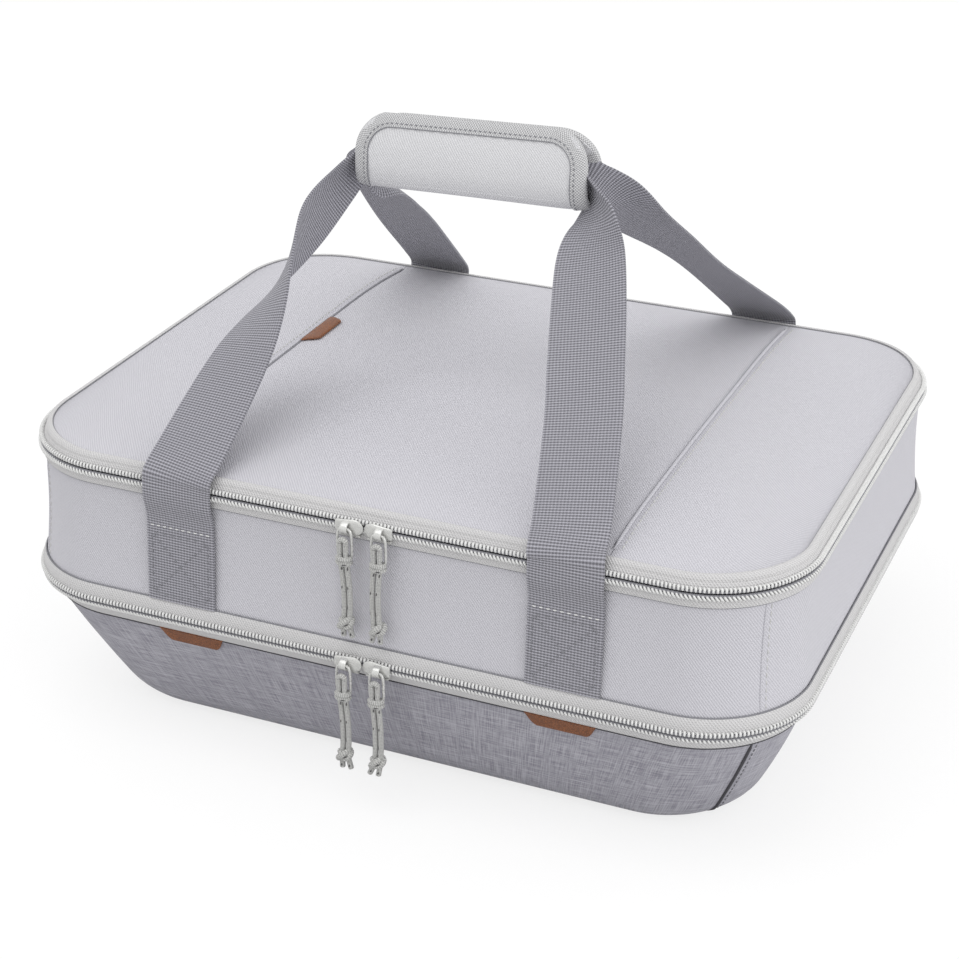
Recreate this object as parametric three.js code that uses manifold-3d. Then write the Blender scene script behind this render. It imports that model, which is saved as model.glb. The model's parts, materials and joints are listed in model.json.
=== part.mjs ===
// Insulated casserole carrier with two decks, in millimetres.
// The origin is the middle of the base, +X runs along the front, -Y is the front and +Z is up.

import * as THREE from 'three';
import { mergeVertices } from 'three/addons/utils/BufferGeometryUtils.js';
import Module from 'manifold-3d';

const wasm = await Module();
wasm.setup();

// Outline at the top zip: half length, half depth and corner radius
const TOP_HALF_LENGTH = 206.6;
const TOP_HALF_DEPTH = 153.6;
const TOP_CORNER = 53;
const CORNER_STEPS = 6;

// The outline flares from the top zip to the lower zip, then tapers in to the base
const FLARE_LENGTH = 2.2;
const FLARE_DEPTH = 6.2;
const TAPER_LENGTH = 31.8;
const TAPER_DEPTH = 33.1;
const TAPER_CORNER = 3;

// Heights of the two zips, of the lid's rim and of its crown above the rim
const LOW_ZIP_Z = 78.5;
const TOP_ZIP_Z = 151.5;
const LID_RISE = 6.5;
const LID_CROWN = 7;

// Layers of a wall, from outside in, and the gap between any two pieces
const FABRIC = 1.2;
const FOAM = 5;
const LINING = 0.8;
const CLEAR = 0.3;

// Zips: tape, coil rows and the groove between them
const TAPE = 0.8;
const COIL_DEPTH = 2;
const COIL_HEIGHT = 3.1;
const GROOVE = 1.6;
const TOP_TAPE_REACH = 7.2;
const LOW_TAPE_REACH_UP = 9.2;
const LOW_TAPE_REACH_DOWN = 9;
const TAPE_LAP = 1.7;

// Sliders, their wire bails and knotted cord pulls
const SLIDER_LENGTH = 15;
const SLIDER_HALF_HEIGHT = 5;
const SLIDER_PLATE = 1.5;
const SLIDER_GAP = 0.6;
const POST_SETBACK = 1.2;
const POST_LENGTH = 2.6;
const LIP_SETBACK = 2;
const CROWN_SETBACK = 9;
const CROWN_WIDTH = 2.4;
const CROWN_REACH = 4.2;
const CROWN_HALF_HEIGHT = 3.6;
const BAIL_WIRE = 1.5;
const BAIL_WIDTH = 9;
const BAIL_DROP = 16.5;
const CORD = 2.8;
const KNOT_DROP = 38;
const TAIL_DROP = 10;
const TAIL_SPLAY = 1.5;
const KNOT_RADIUS = 4;
const SINK = 0.2;

// Handles: webbing sewn to the front and the rear of the upper deck
const STRAP_WIDTH = 38;
const STRAP = 1.6;
const STRAP_X = 103;
const STITCH_Z = 129;
const FOLDED_WIDTH = 16;
const STRAP_RAMP = 10;
const BEND_IN = 8;
const BEND_UP = 9;
const NECK_OUT = 17;
const NECK_SPREAD = 22;
const NECK_DROP = 30;

// Padded grip around the two straps
const GRIP_X = -9.6;
const GRIP_Z = 289.5;
const GRIP_LENGTH = 126;
const GRIP_HEIGHT = 41;
const GRIP_THICKNESS = 26;
const GRIP_PAD = 5;
const GRIP_CORNER = 18;
const BINDING = 0.8;
const BINDING_WIDTH = 7;
const CLOSURE_LENGTH = 100;
const CLOSURE_HEIGHT = 9;
const CLOSURE = 1.3;
const CLOSURE_MARGIN = 1.5;
const POCKET_SLACK = 2;
const POCKET_SHOULDER = 16.5;
const RUN_DROP = 5;

// Lid panels, rim binding and leather tabs
const SEAM_X = 120.6;
const RIM_WIDTH = 6.5;
const TAB = 1.4;
const TAB_WIDTH = 37;
const TAB_FOOT = 27;
const TAB_HEIGHT = 9;
const TAB_X = 101;
const LID_TAB_Y = 26;

// Colours read off the photograph
const PALE_TWILL = { color: 0xc9c9cd, roughness: 0.85, metalness: 0 };
const HEATHER = { color: 0x8f8d95, roughness: 0.9, metalness: 0 };
const WEBBING = { color: 0x8c8c92, roughness: 0.85, metalness: 0 };
const WARM_TAPE = { color: 0xc6c5c0, roughness: 0.85, metalness: 0 };
const COIL_GLOSS = { color: 0xbcbcba, roughness: 0.4, metalness: 0 };
const PAINTED_METAL = { color: 0xc4c4c2, roughness: 0.4, metalness: 0.3 };
const CORD_GREY = { color: 0xbdbdbd, roughness: 0.9, metalness: 0 };
const LEATHER = { color: 0x85522f, roughness: 0.6, metalness: 0 };
const FOAM_WHITE = { color: 0xe8e8e6, roughness: 0.95, metalness: 0 };
const LINER = { color: 0xd4d6d8, roughness: 0.35, metalness: 0.2 };
const HOOK_LOOP = { color: 0x9a9a9c, roughness: 1, metalness: 0 };

// Outlines at the lower zip and at the base
const LOW_HALF_LENGTH = TOP_HALF_LENGTH + FLARE_LENGTH;
const LOW_HALF_DEPTH = TOP_HALF_DEPTH + FLARE_DEPTH;
const LOW_CORNER = TOP_CORNER;
const BASE_HALF_LENGTH = LOW_HALF_LENGTH - TAPER_LENGTH;
const BASE_HALF_DEPTH = LOW_HALF_DEPTH - TAPER_DEPTH;
const BASE_CORNER = LOW_CORNER - TAPER_CORNER;

const v = (x, y, z) => new THREE.Vector3(x, y, z);
const lerp = THREE.MathUtils.lerp;
const model = new THREE.Group();

function add(name, geometry, look) {
  const mesh = new THREE.Mesh(geometry, new THREE.MeshStandardMaterial(look));
  mesh.name = name;
  model.add(mesh);
  return mesh;
}

// Solids between outlines

// Triangles that close an outline, turned the way the outline runs.
function capOf(points) {
  const normal = v(0, 0, 0);
  points.forEach((a, i) => {
    const b = points[(i + 1) % points.length];
    normal.add(v((a.y - b.y) * (a.z + b.z), (a.z - b.z) * (a.x + b.x), (a.x - b.x) * (a.y + b.y)));
  });
  const size = [Math.abs(normal.x), Math.abs(normal.y), Math.abs(normal.z)];
  const drop = size.indexOf(Math.max(...size));
  const flat = points.map((p) => {
    const q = [p.toArray()[(drop + 1) % 3], p.toArray()[(drop + 2) % 3]];
    return new THREE.Vector2(q[0], q[1]);
  });
  const faces = THREE.ShapeUtils.triangulateShape(flat, []);
  const [i, j, k] = faces[0];
  const turn = points[j].clone().sub(points[i]).cross(points[k].clone().sub(points[i]));
  return turn.dot(normal) > 0 ? faces : faces.map(([a, b, c]) => [a, c, b]);
}

// Solid through a row of outlines of as many points each; the row closes on itself or is capped.
function loft(rings, closed = false) {
  const count = rings[0].length;
  const position = rings.flat().flatMap((p) => p.toArray());
  const index = [];
  const strips = closed ? rings.length : rings.length - 1;
  for (let i = 0; i < strips; i += 1) {
    const a = i * count;
    const b = ((i + 1) % rings.length) * count;
    for (let j = 0; j < count; j += 1) {
      const k = (j + 1) % count;
      index.push(a + j, a + k, b + k, a + j, b + k, b + j);
    }
  }
  if (!closed) {
    const last = (rings.length - 1) * count;
    capOf(rings[0]).forEach(([p, q, r]) => index.push(p, r, q));
    capOf(rings[rings.length - 1]).forEach(([p, q, r]) => index.push(last + p, last + q, last + r));
  }
  const geometry = new THREE.BufferGeometry();
  geometry.setAttribute('position', new THREE.Float32BufferAttribute(position, 3));
  geometry.setIndex(index);
  geometry.computeVertexNormals();
  return geometry;
}

// Rounded rectangle, counter-clockwise from above, starting at the rear right corner.
function outline(halfLength, halfDepth, corner, z) {
  const points = [];
  [[1, 1], [-1, 1], [-1, -1], [1, -1]].forEach(([sx, sy], quarter) => {
    for (let i = 0; i <= CORNER_STEPS; i += 1) {
      const angle = (quarter + i / CORNER_STEPS) * Math.PI / 2;
      const x = sx * (halfLength - corner) + corner * Math.cos(angle);
      const y = sy * (halfDepth - corner) + corner * Math.sin(angle);
      points.push(v(x, y, z));
    }
  });
  return points;
}

// Half length, half depth and corner of the carrier's outer face at a height.
function sizeAt(z) {
  if (z < LOW_ZIP_Z) {
    const t = z / LOW_ZIP_Z;
    return [
      lerp(BASE_HALF_LENGTH, LOW_HALF_LENGTH, t),
      lerp(BASE_HALF_DEPTH, LOW_HALF_DEPTH, t),
      lerp(BASE_CORNER, LOW_CORNER, t),
    ];
  }
  const t = Math.min((z - LOW_ZIP_Z) / (TOP_ZIP_Z - LOW_ZIP_Z), 1);
  return [
    lerp(LOW_HALF_LENGTH, TOP_HALF_LENGTH, t),
    lerp(LOW_HALF_DEPTH, TOP_HALF_DEPTH, t),
    lerp(LOW_CORNER, TOP_CORNER, t),
  ];
}

function hull(z, inset, shape = sizeAt(z)) {
  const [length, depth, corner] = shape;
  return outline(length - inset, depth - inset, corner - inset, z);
}

// Closed belt between two heights and two insets.
function belt(low, high, outer, inner) {
  return loft([hull(low, outer), hull(high, outer), hull(high, inner), hull(low, inner)], true);
}

// Open tray: walls between two insets, and a floor as thick as the walls.
function tray(low, high, outer, inner) {
  const floor = low + inner - outer;
  return loft([hull(low, outer), hull(high, outer), hull(high, inner), hull(floor, inner)]);
}

function slab(low, high, inset) {
  return loft([hull(low, inset), hull(high, inset)]);
}

// Bar along the left side, the front and the right side, round the rear corners.
function threeSides(low, high, outer, inner) {
  const order = (ring) => ring.slice(CORNER_STEPS + 1).concat(ring.slice(0, CORNER_STEPS + 1));
  const rows = [hull(low, inner), hull(high, inner), hull(high, outer), hull(low, outer)].map(order);
  return loft(rows[0].map((_, i) => rows.map((row) => row[i])));
}

// Solids joined and cut as volumes

function solid(geometry) {
  const bare = new THREE.BufferGeometry();
  bare.setAttribute('position', geometry.getAttribute('position').clone());
  bare.setIndex(geometry.getIndex());
  const merged = mergeVertices(bare, 1e-4);
  return new wasm.Manifold(new wasm.Mesh({
    numProp: 3,
    vertProperties: new Float32Array(merged.getAttribute('position').array),
    triVerts: new Uint32Array(merged.getIndex().array),
  }));
}

function geometryOf(body) {
  const mesh = body.getMesh();
  const geometry = new THREE.BufferGeometry();
  geometry.setAttribute('position', new THREE.Float32BufferAttribute(mesh.vertProperties, 3));
  geometry.setIndex(Array.from(mesh.triVerts));
  geometry.computeVertexNormals();
  return geometry;
}

const join = (...pieces) => pieces.map(solid).reduce((a, b) => a.add(b));

function block(x0, x1, y0, y1, z0, z1) {
  const box = new THREE.BoxGeometry(x1 - x0, y1 - y0, z1 - z0);
  return box.translate((x0 + x1) / 2, (y0 + y1) / 2, (z0 + z1) / 2);
}

// Walls of the tub: outer fabric, foam and lining, open at the lower zip

const WALL_FOAM = FABRIC + CLEAR;
const WALL_LINER = WALL_FOAM + FOAM + CLEAR;
const WALL_INSIDE = WALL_LINER + LINING;
const TUB_EDGE = LOW_ZIP_Z - LOW_TAPE_REACH_DOWN + TAPE_LAP;
const TUB_FOAM_Z = FABRIC + CLEAR;
const TUB_LINER_Z = TUB_FOAM_Z + FOAM + CLEAR;

add('tub_base', slab(0, FABRIC, 0), HEATHER);
add('tub_wall', belt(FABRIC + CLEAR, TUB_EDGE, 0, FABRIC), HEATHER);
add('tub_foam_base', slab(TUB_FOAM_Z, TUB_FOAM_Z + FOAM, WALL_FOAM), FOAM_WHITE);
add('tub_foam_wall', belt(TUB_LINER_Z, TUB_EDGE, WALL_FOAM, WALL_FOAM + FOAM), FOAM_WHITE);
add('tub_lining', tray(TUB_LINER_Z, TUB_EDGE, WALL_LINER, WALL_INSIDE), LINER);

// Walls of the upper deck, and the padded floor that divides the two compartments

const HALF_GROOVE = GROOVE / 2;
const DECK_LOW = LOW_ZIP_Z + LOW_TAPE_REACH_UP - TAPE_LAP;
const DECK_EDGE = TOP_ZIP_Z - TOP_TAPE_REACH + TAPE_LAP;
const UNDER_Z = LOW_ZIP_Z + HALF_GROOVE;
const FLOOR_Z = UNDER_Z + LINING + CLEAR;
const DECK_LINER_Z = FLOOR_Z + FOAM + CLEAR;

add('deck_band', belt(DECK_LOW, DECK_EDGE, 0, FABRIC), PALE_TWILL);
add('deck_foam_wall', belt(DECK_LOW, DECK_EDGE, WALL_FOAM, WALL_FOAM + FOAM), FOAM_WHITE);
add('deck_under_lining', slab(UNDER_Z, UNDER_Z + LINING, WALL_LINER), LINER);
add('deck_floor_foam', slab(FLOOR_Z, FLOOR_Z + FOAM, WALL_LINER), FOAM_WHITE);
add('deck_lining', tray(DECK_LINER_Z, DECK_EDGE, WALL_LINER, WALL_INSIDE), LINER);

// Zips: each half is a tape with a coil row sewn along its edge

const TAPE_IN = -CLEAR;
const TAPE_OUT = TAPE_IN - TAPE;
const COIL_IN = TAPE_OUT - CLEAR;
const COIL_OUT = COIL_IN - COIL_DEPTH;
const LID_RIM_Z = TOP_ZIP_Z + LID_RISE;

function zip(z, below, above, lowName, highName) {
  const low = z - HALF_GROOVE;
  const high = z + HALF_GROOVE;
  add(`${lowName}_tape`, belt(z - below, low, TAPE_OUT, TAPE_IN), WARM_TAPE);
  add(`${lowName}_coil`, threeSides(low - COIL_HEIGHT, low, COIL_OUT, COIL_IN), COIL_GLOSS);
  add(`${highName}_tape`, belt(high, z + above, TAPE_OUT, TAPE_IN), WARM_TAPE);
  add(`${highName}_coil`, threeSides(high, high + COIL_HEIGHT, COIL_OUT, COIL_IN), COIL_GLOSS);
}

zip(LOW_ZIP_Z, LOW_TAPE_REACH_DOWN, LOW_TAPE_REACH_UP, 'tub_zip', 'deck_low_zip');
zip(TOP_ZIP_Z, TOP_TAPE_REACH, LID_RISE, 'deck_top_zip', 'lid_zip');

// Rear gussets that hinge the lid and the upper deck, between the ends of the coils
function gusset(name, z, below) {
  const rings = [z - below, z - HALF_GROOVE].map((level) => {
    const [length, depth, corner] = sizeAt(level);
    const half = length - corner - CLEAR;
    const y = depth - COIL_IN;
    return [v(-half, y, level), v(half, y, level), v(half, y + TAPE, level), v(-half, y + TAPE, level)];
  });
  add(name, loft(rings), WARM_TAPE);
}

gusset('deck_hinge_gusset', LOW_ZIP_Z, LOW_TAPE_REACH_DOWN);
gusset('lid_hinge_gusset', TOP_ZIP_Z, TOP_TAPE_REACH);

// Lid: three crowned panels over foam and lining, with a bound rim

const crown = (x, y) => LID_CROWN * (1 - (x / TOP_HALF_LENGTH) ** 4) * (1 - (y / TOP_HALF_DEPTH) ** 4);

// Half depth of the lid's outline, inset evenly, at a distance along the front.
function halfDepthAt(x, inset) {
  const corner = TOP_CORNER - inset;
  const past = Math.max(Math.abs(x) - (TOP_HALF_LENGTH - TOP_CORNER), 0);
  const depth = TOP_HALF_DEPTH - TOP_CORNER;
  return depth + Math.sqrt(Math.max(corner ** 2 - past ** 2, 0));
}

// Slab under the crown between two places along the front; low gives its underside.
function crowned(x0, x1, inset, drop, low) {
  const end = TOP_HALF_LENGTH - inset;
  const bend = TOP_HALF_LENGTH - TOP_CORNER;
  const stations = [x0, x1, -bend, -bend * 0.4, 0, bend * 0.4, bend];
  [0.25, 0.5, 0.7, 0.85, 0.95].forEach((t) => {
    stations.push(lerp(bend, end, t), -lerp(bend, end, t));
  });
  const across = [-1, -0.9, -0.7, -0.35, 0, 0.35, 0.7, 0.9, 1];
  const inside = stations.filter((x) => x >= x0 && x <= x1).sort((a, b) => a - b);
  const rings = [...new Set(inside)].map((x) => {
    const half = halfDepthAt(x, inset);
    const top = across.map((t) => v(x, t * half, LID_RIM_Z + crown(x, t * half) - drop));
    const under = top.map((p) => v(x, p.y, low(p)));
    return under.concat(top.reverse());
  });
  return loft(rings);
}

const LID_LINER_Z = TOP_ZIP_Z + HALF_GROOVE;
const LID_FOAM_Z = LID_LINER_Z + LINING + CLEAR;
const PANEL_END = TOP_HALF_LENGTH;
const panel = (x0, x1) => crowned(x0, x1, 0, 0, (p) => p.z - FABRIC);

add('lid_left_panel', panel(-PANEL_END, -SEAM_X - CLEAR), PALE_TWILL);
add('lid_centre_panel', panel(-SEAM_X, SEAM_X), PALE_TWILL);
add('lid_right_panel', panel(SEAM_X + CLEAR, PANEL_END), PALE_TWILL);
const FOAM_END = TOP_HALF_LENGTH - WALL_LINER;
add('lid_foam', crowned(-FOAM_END, FOAM_END, WALL_LINER, FABRIC + CLEAR, () => LID_FOAM_Z), FOAM_WHITE);
add('lid_lining', slab(LID_LINER_Z, LID_LINER_Z + LINING, WALL_LINER), LINER);

// The rim binding folds over the tape's upper edge and lies on the panels' edge.
function rimBinding() {
  const shape = sizeAt(TOP_ZIP_Z);
  const rise = crown(0, TOP_HALF_DEPTH - RIM_WIDTH);
  const ring = (inset, z) => hull(LID_RIM_Z + z, inset, shape);
  const inner = TAPE_OUT - CLEAR;
  const outer = inner - BINDING;
  const top = CLEAR * 2;
  return loft([
    ring(outer, -LID_RISE / 4),
    ring(outer, top + BINDING),
    ring(RIM_WIDTH, rise + top + BINDING),
    ring(RIM_WIDTH, rise + top),
    ring(inner, top),
    ring(inner, -LID_RISE / 4),
  ], true);
}

add('lid_rim_binding', rimBinding(), WARM_TAPE);

// Leather tabs: a folded tab in the lid's left seam, two under the tub's zip tape

function tabPlate() {
  const half = TAB_WIDTH / 2;
  const foot = TAB_FOOT / 2;
  const shape = new THREE.Shape();
  shape.moveTo(half, 0);
  shape.lineTo(half - (half - foot) * 0.35, -TAB_HEIGHT * 0.65);
  shape.lineTo(foot, -TAB_HEIGHT);
  shape.lineTo(-foot, -TAB_HEIGHT);
  shape.lineTo(-half + (half - foot) * 0.35, -TAB_HEIGHT * 0.65);
  shape.lineTo(-half, 0);
  return new THREE.ExtrudeGeometry(shape, { depth: TAB, bevelEnabled: false });
}

const tubLean = Math.atan2(LOW_HALF_DEPTH - BASE_HALF_DEPTH, LOW_ZIP_Z);
const tabTop = LOW_ZIP_Z - LOW_TAPE_REACH_DOWN - CLEAR;
[['tub_tab_left', -1], ['tub_tab_right', 1]].forEach(([name, side]) => {
  const tab = add(name, tabPlate(), LEATHER);
  tab.rotation.x = Math.PI / 2 + tubLean;
  tab.position.set(side * TAB_X, -sizeAt(tabTop)[1] - CLEAR / Math.cos(tubLean), tabTop);
});

const lidTab = add('lid_tab', tabPlate(), LEATHER);
const lidTabEdge = -SEAM_X + TAB_HEIGHT;
lidTab.rotation.z = Math.PI / 2;
lidTab.position.set(-SEAM_X, LID_TAB_Y, LID_RIM_Z + crown(lidTabEdge, LID_TAB_Y) + CLEAR);

// Zip sliders, nose to nose at the middle of the front

const OUTWARD = new THREE.Matrix4().makeBasis(v(1, 0, 0), v(0, 0, 1), v(0, -1, 0));
const ACROSS = new THREE.Matrix4().makeBasis(v(0, -1, 0), v(0, 0, 1), v(-1, 0, 0));

// Heart-shaped plate: wide and round at the nose, narrow at the tail.
function sliderPlate(side, depth, y, z) {
  const h = SLIDER_HALF_HEIGHT;
  const nose = side * SLIDER_GAP / 2;
  const tail = side * SLIDER_LENGTH;
  const shoulder = side * h;
  const shape = new THREE.Shape();
  shape.moveTo(tail, -h * 0.7);
  shape.lineTo(shoulder, -h);
  shape.quadraticCurveTo(nose, -h, nose, 0);
  shape.quadraticCurveTo(nose, h, shoulder, h);
  shape.lineTo(tail, h * 0.7);
  const plate = new THREE.ExtrudeGeometry(shape, { depth, bevelEnabled: false, curveSegments: 5 });
  return plate.applyMatrix4(OUTWARD).translate(0, y, z);
}

// Crown: a lug on the outer plate with a round eye for the bail.
function sliderCrown(x, y, z) {
  const h = CROWN_HALF_HEIGHT;
  const shape = new THREE.Shape();
  shape.moveTo(-SLIDER_PLATE / 2, -h);
  shape.lineTo(CROWN_REACH * 0.4, -h);
  shape.quadraticCurveTo(CROWN_REACH, -h, CROWN_REACH, 0);
  shape.quadraticCurveTo(CROWN_REACH, h, CROWN_REACH * 0.4, h);
  shape.lineTo(-SLIDER_PLATE / 2, h);
  const eye = new THREE.Path();
  eye.absarc(CROWN_REACH / 2, 0, BAIL_WIRE / 2 + CLEAR, 0, Math.PI * 2);
  shape.holes.push(eye);
  const options = { depth: CROWN_WIDTH, bevelEnabled: false, curveSegments: 4 };
  const lug = new THREE.ExtrudeGeometry(shape, options);
  return lug.applyMatrix4(ACROSS).translate(x + CROWN_WIDTH / 2, y, z);
}

// Wire loop hanging in a plane in front of the slider; spare widens the wire.
function bailLoop(x, y, z, spare) {
  const r = BAIL_WIRE / 2 + spare;
  const half = (BAIL_WIDTH - BAIL_WIRE) / 2;
  const bend = BAIL_WIRE * 1.5;
  const corners = [[half, 0], [-half, 0], [-half, -BAIL_DROP], [half, -BAIL_DROP]];
  const rings = [];
  corners.forEach(([cx, cz], quarter) => {
    for (let i = 0; i <= 3; i += 1) {
      const angle = (quarter + i / 3) * Math.PI / 2;
      const out = v(Math.cos(angle), 0, Math.sin(angle));
      const centre = v(x + cx - Math.sign(cx) * bend, y, z + cz + (cz ? bend : -bend));
      centre.addScaledVector(out, bend);
      const ring = [0, 1, 2, 3, 4, 5].map((k) => {
        const turn = k * Math.PI / 3;
        return centre.clone().addScaledVector(out, r * Math.cos(turn)).add(v(0, r * Math.sin(turn), 0));
      });
      rings.push(ring);
    }
  });
  return loft(rings, true);
}

function tube(points, steps) {
  const sides = 8;
  const section = new THREE.Shape();
  for (let k = 0; k < sides; k += 1) {
    const turn = k * 2 * Math.PI / sides;
    const corner = [CORD / 2 * Math.cos(turn), CORD / 2 * Math.sin(turn)];
    if (k === 0) section.moveTo(...corner);
    else section.lineTo(...corner);
  }
  const extrudePath = new THREE.CatmullRomCurve3(points);
  return new THREE.ExtrudeGeometry(section, { steps, extrudePath, bevelEnabled: false });
}

// Knot: a rounded lump, flattened or drawn out along Y and Z.
function knot(x, y, z, flat, tall) {
  const ball = new THREE.SphereGeometry(KNOT_RADIUS, 10, 7);
  return ball.scale(1, flat, tall).translate(x, y, z);
}

// Doubled cord: a bight inside the bail, a knot round its lower bar, two strands, an end knot, two tails.
function pullCord(x, y, z) {
  const reach = CORD / 2 + CLEAR / 2;
  const bar = z - BAIL_DROP;
  const end = bar - KNOT_DROP;
  const front = y - BAIL_WIRE / 2 - CORD / 2;
  const wall = sizeAt(end)[1] + KNOT_RADIUS + CLEAR;
  const foot = Math.min(front, -wall);
  const top = z - CROWN_HALF_HEIGHT - CORD;
  const pieces = [];
  [-1, 1].forEach((side) => {
    const s = x + side * reach;
    const middle = v(s, (front + foot) / 2, (bar + end) / 2);
    const cut = v(s + side * TAIL_SPLAY, foot, end - TAIL_DROP);
    pieces.push(tube([v(s, front, top), v(s, front, bar), middle, v(s, foot, end)], 10));
    pieces.push(tube([v(s, foot, end), cut], 2));
  });
  const arch = [];
  for (let i = 0; i <= 6; i += 1) {
    const angle = i * Math.PI / 6;
    arch.push(v(x + reach * Math.cos(angle), front, top - SINK + reach * Math.sin(angle)));
  }
  pieces.push(tube(arch, 6));
  pieces.push(knot(x, (y + front) / 2, bar, 0.9, 0.85));
  pieces.push(knot(x, foot, end, 0.95, 1.1));
  return geometryOf(join(...pieces).subtract(solid(bailLoop(x, y, z, CLEAR))));
}

function slider(name, side, z) {
  const h = SLIDER_HALF_HEIGHT;
  const coilFoot = HALF_GROOVE + COIL_HEIGHT;
  const depths = [-h, -coilFoot, 0, coilFoot, h].map((dz) => sizeAt(z + dz)[1]);
  const face = -Math.max(...depths) + COIL_OUT - CLEAR;
  const back = -Math.min(...depths);
  const tape = -Math.max(depths[0], depths[1]) + TAPE_OUT - CLEAR;
  const along = (a, b) => [Math.min(side * a, side * b), Math.max(side * a, side * b)];
  const postX = along(POST_SETBACK, POST_SETBACK + POST_LENGTH);
  const postHalf = HALF_GROOVE - CLEAR;
  const post = block(...postX, face - SINK, back + SINK, z - postHalf, z + postHalf);
  const lipX = along(LIP_SETBACK, SLIDER_LENGTH - LIP_SETBACK / 2);
  const lip = block(...lipX, face - SINK, tape, z - h * 0.98, z - coilFoot - CLEAR);
  const x = side * CROWN_SETBACK;
  const outer = face - SLIDER_PLATE;
  const pieces = [
    sliderPlate(side, SLIDER_PLATE, face, z),
    sliderPlate(side, SLIDER_PLATE, back + SLIDER_PLATE, z),
    post,
    lip,
    sliderCrown(x, outer, z),
  ];
  add(`${name}_slider`, geometryOf(join(...pieces)), PAINTED_METAL);
  const eye = outer - CROWN_REACH / 2;
  add(`${name}_bail`, bailLoop(x, eye, z, 0), PAINTED_METAL);
  add(`${name}_cord`, pullCord(x, eye, z), CORD_GREY);
}

slider('top_left', -1, TOP_ZIP_Z);
slider('top_right', 1, TOP_ZIP_Z);
slider('low_left', -1, LOW_ZIP_Z);
slider('low_right', 1, LOW_ZIP_Z);

// Grip: two padded halves that fold round the straps, hinged along the bottom

const GRIP_HALF = GRIP_THICKNESS / 2;
const GRIP_TOP = GRIP_HEIGHT / 2;
const GRIP_BELLY = -GRIP_HEIGHT * 0.2;
const LIP_IN = CLOSURE + CLEAR * 1.5;
const LIP_OUT = LIP_IN + GRIP_PAD + CLEAR;
const POCKET = GRIP_HALF - GRIP_PAD - POCKET_SLACK;
const POCKET_TOP = GRIP_TOP - POCKET_SHOULDER;
const LIP_TOP = POCKET_TOP + GRIP_PAD;
const RUN_Z = GRIP_Z - RUN_DROP;

// Profile of the front half across the grip, from the fold up the inside and down the outside.
function gripProfile(top) {
  const fold = CLEAR;
  return [
    [fold, -GRIP_TOP],
    [fold, -GRIP_TOP + GRIP_PAD],
    [POCKET * 0.9, -GRIP_TOP + GRIP_PAD * 1.1],
    [POCKET, -GRIP_TOP + GRIP_PAD * 1.4],
    [POCKET, POCKET_TOP],
    [LIP_IN, LIP_TOP],
    [LIP_IN, top],
    [lerp(GRIP_HALF, LIP_OUT, (top - GRIP_BELLY) / (GRIP_TOP - GRIP_BELLY)), top],
    [GRIP_HALF, GRIP_BELLY],
    [GRIP_HALF - GRIP_PAD * 0.3, -GRIP_TOP + GRIP_PAD],
    [GRIP_HALF - GRIP_PAD * 1.2, -GRIP_TOP + GRIP_PAD * 0.2],
  ];
}

// Border of the grip's face: up one end, round the corners and along the top edge.
function gripBorder() {
  const half = GRIP_LENGTH / 2;
  const border = [];
  [1, -1].forEach((side) => {
    const arc = [];
    for (let i = 0; i <= 5; i += 1) {
      const angle = i * Math.PI / 10;
      const [nx, nz] = [Math.cos(angle), Math.sin(angle)];
      const x = half - GRIP_CORNER + GRIP_CORNER * nx;
      const z = GRIP_TOP - GRIP_CORNER + GRIP_CORNER * nz;
      arc.push([side * x, z, side * nx, nz]);
    }
    const foot = [side * half, GRIP_BELLY, side, 0];
    if (side > 0) border.push(foot, ...arc);
    else border.push(...arc.reverse(), foot);
  });
  return border;
}

function gripPad(face) {
  const half = GRIP_LENGTH / 2;
  const xs = [-half];
  for (let i = 1; i <= 4; i += 1) xs.push(-half + GRIP_CORNER * (1 - Math.cos(i * Math.PI / 8)));
  const stations = xs.concat(xs.map((x) => -x).reverse());
  const rings = stations.map((x) => {
    const past = Math.max(Math.abs(x) - half + GRIP_CORNER, 0);
    const top = GRIP_TOP - GRIP_CORNER + Math.sqrt(Math.max(GRIP_CORNER ** 2 - past ** 2, 0));
    const profile = gripProfile(Math.max(top, LIP_TOP + CLEAR * 2));
    const ring = profile.map(([y, z]) => v(GRIP_X + x, face * y, GRIP_Z + z));
    return face < 0 ? ring : ring.reverse();
  });
  return loft(rings);
}

// Woven binding laid on the sloping outer face along the border.
function gripBinding(face) {
  const lean = (GRIP_HALF - LIP_OUT) / (GRIP_TOP - GRIP_BELLY);
  const outAt = (z) => GRIP_HALF - (z - GRIP_BELLY) * lean;
  const rings = gripBorder().map(([x, z, nx, nz]) => {
    const inside = [x - nx * BINDING_WIDTH, z - nz * BINDING_WIDTH];
    const place = (px, pz, lift) => v(GRIP_X + px, face * (outAt(pz) + lift), GRIP_Z + pz);
    const low = CLEAR * 1.5;
    const ring = [
      place(x, z, low),
      place(x, z, low + BINDING),
      place(...inside, low + BINDING),
      place(...inside, low),
    ];
    return face > 0 ? ring : ring.reverse();
  });
  return loft(rings);
}

function closure(face) {
  const x = CLOSURE_LENGTH / 2;
  const y0 = face * CLEAR / 2;
  const y1 = face * (CLEAR / 2 + CLOSURE);
  const z1 = GRIP_Z + GRIP_TOP - CLOSURE_MARGIN;
  return block(GRIP_X - x, GRIP_X + x, Math.min(y0, y1), Math.max(y0, y1), z1 - CLOSURE_HEIGHT, z1);
}

add('grip_front_pad', gripPad(-1), PALE_TWILL);
add('grip_front_binding', gripBinding(-1), WARM_TAPE);
add('grip_loop_strip', closure(-1), HOOK_LOOP);
add('grip_flap_pad', gripPad(1), PALE_TWILL);
add('grip_flap_binding', gripBinding(1), WARM_TAPE);
add('grip_hook_strip', closure(1), HOOK_LOOP);

// Straps: one length of webbing each, from a sewn end over the grip's run to the other sewn end

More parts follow.
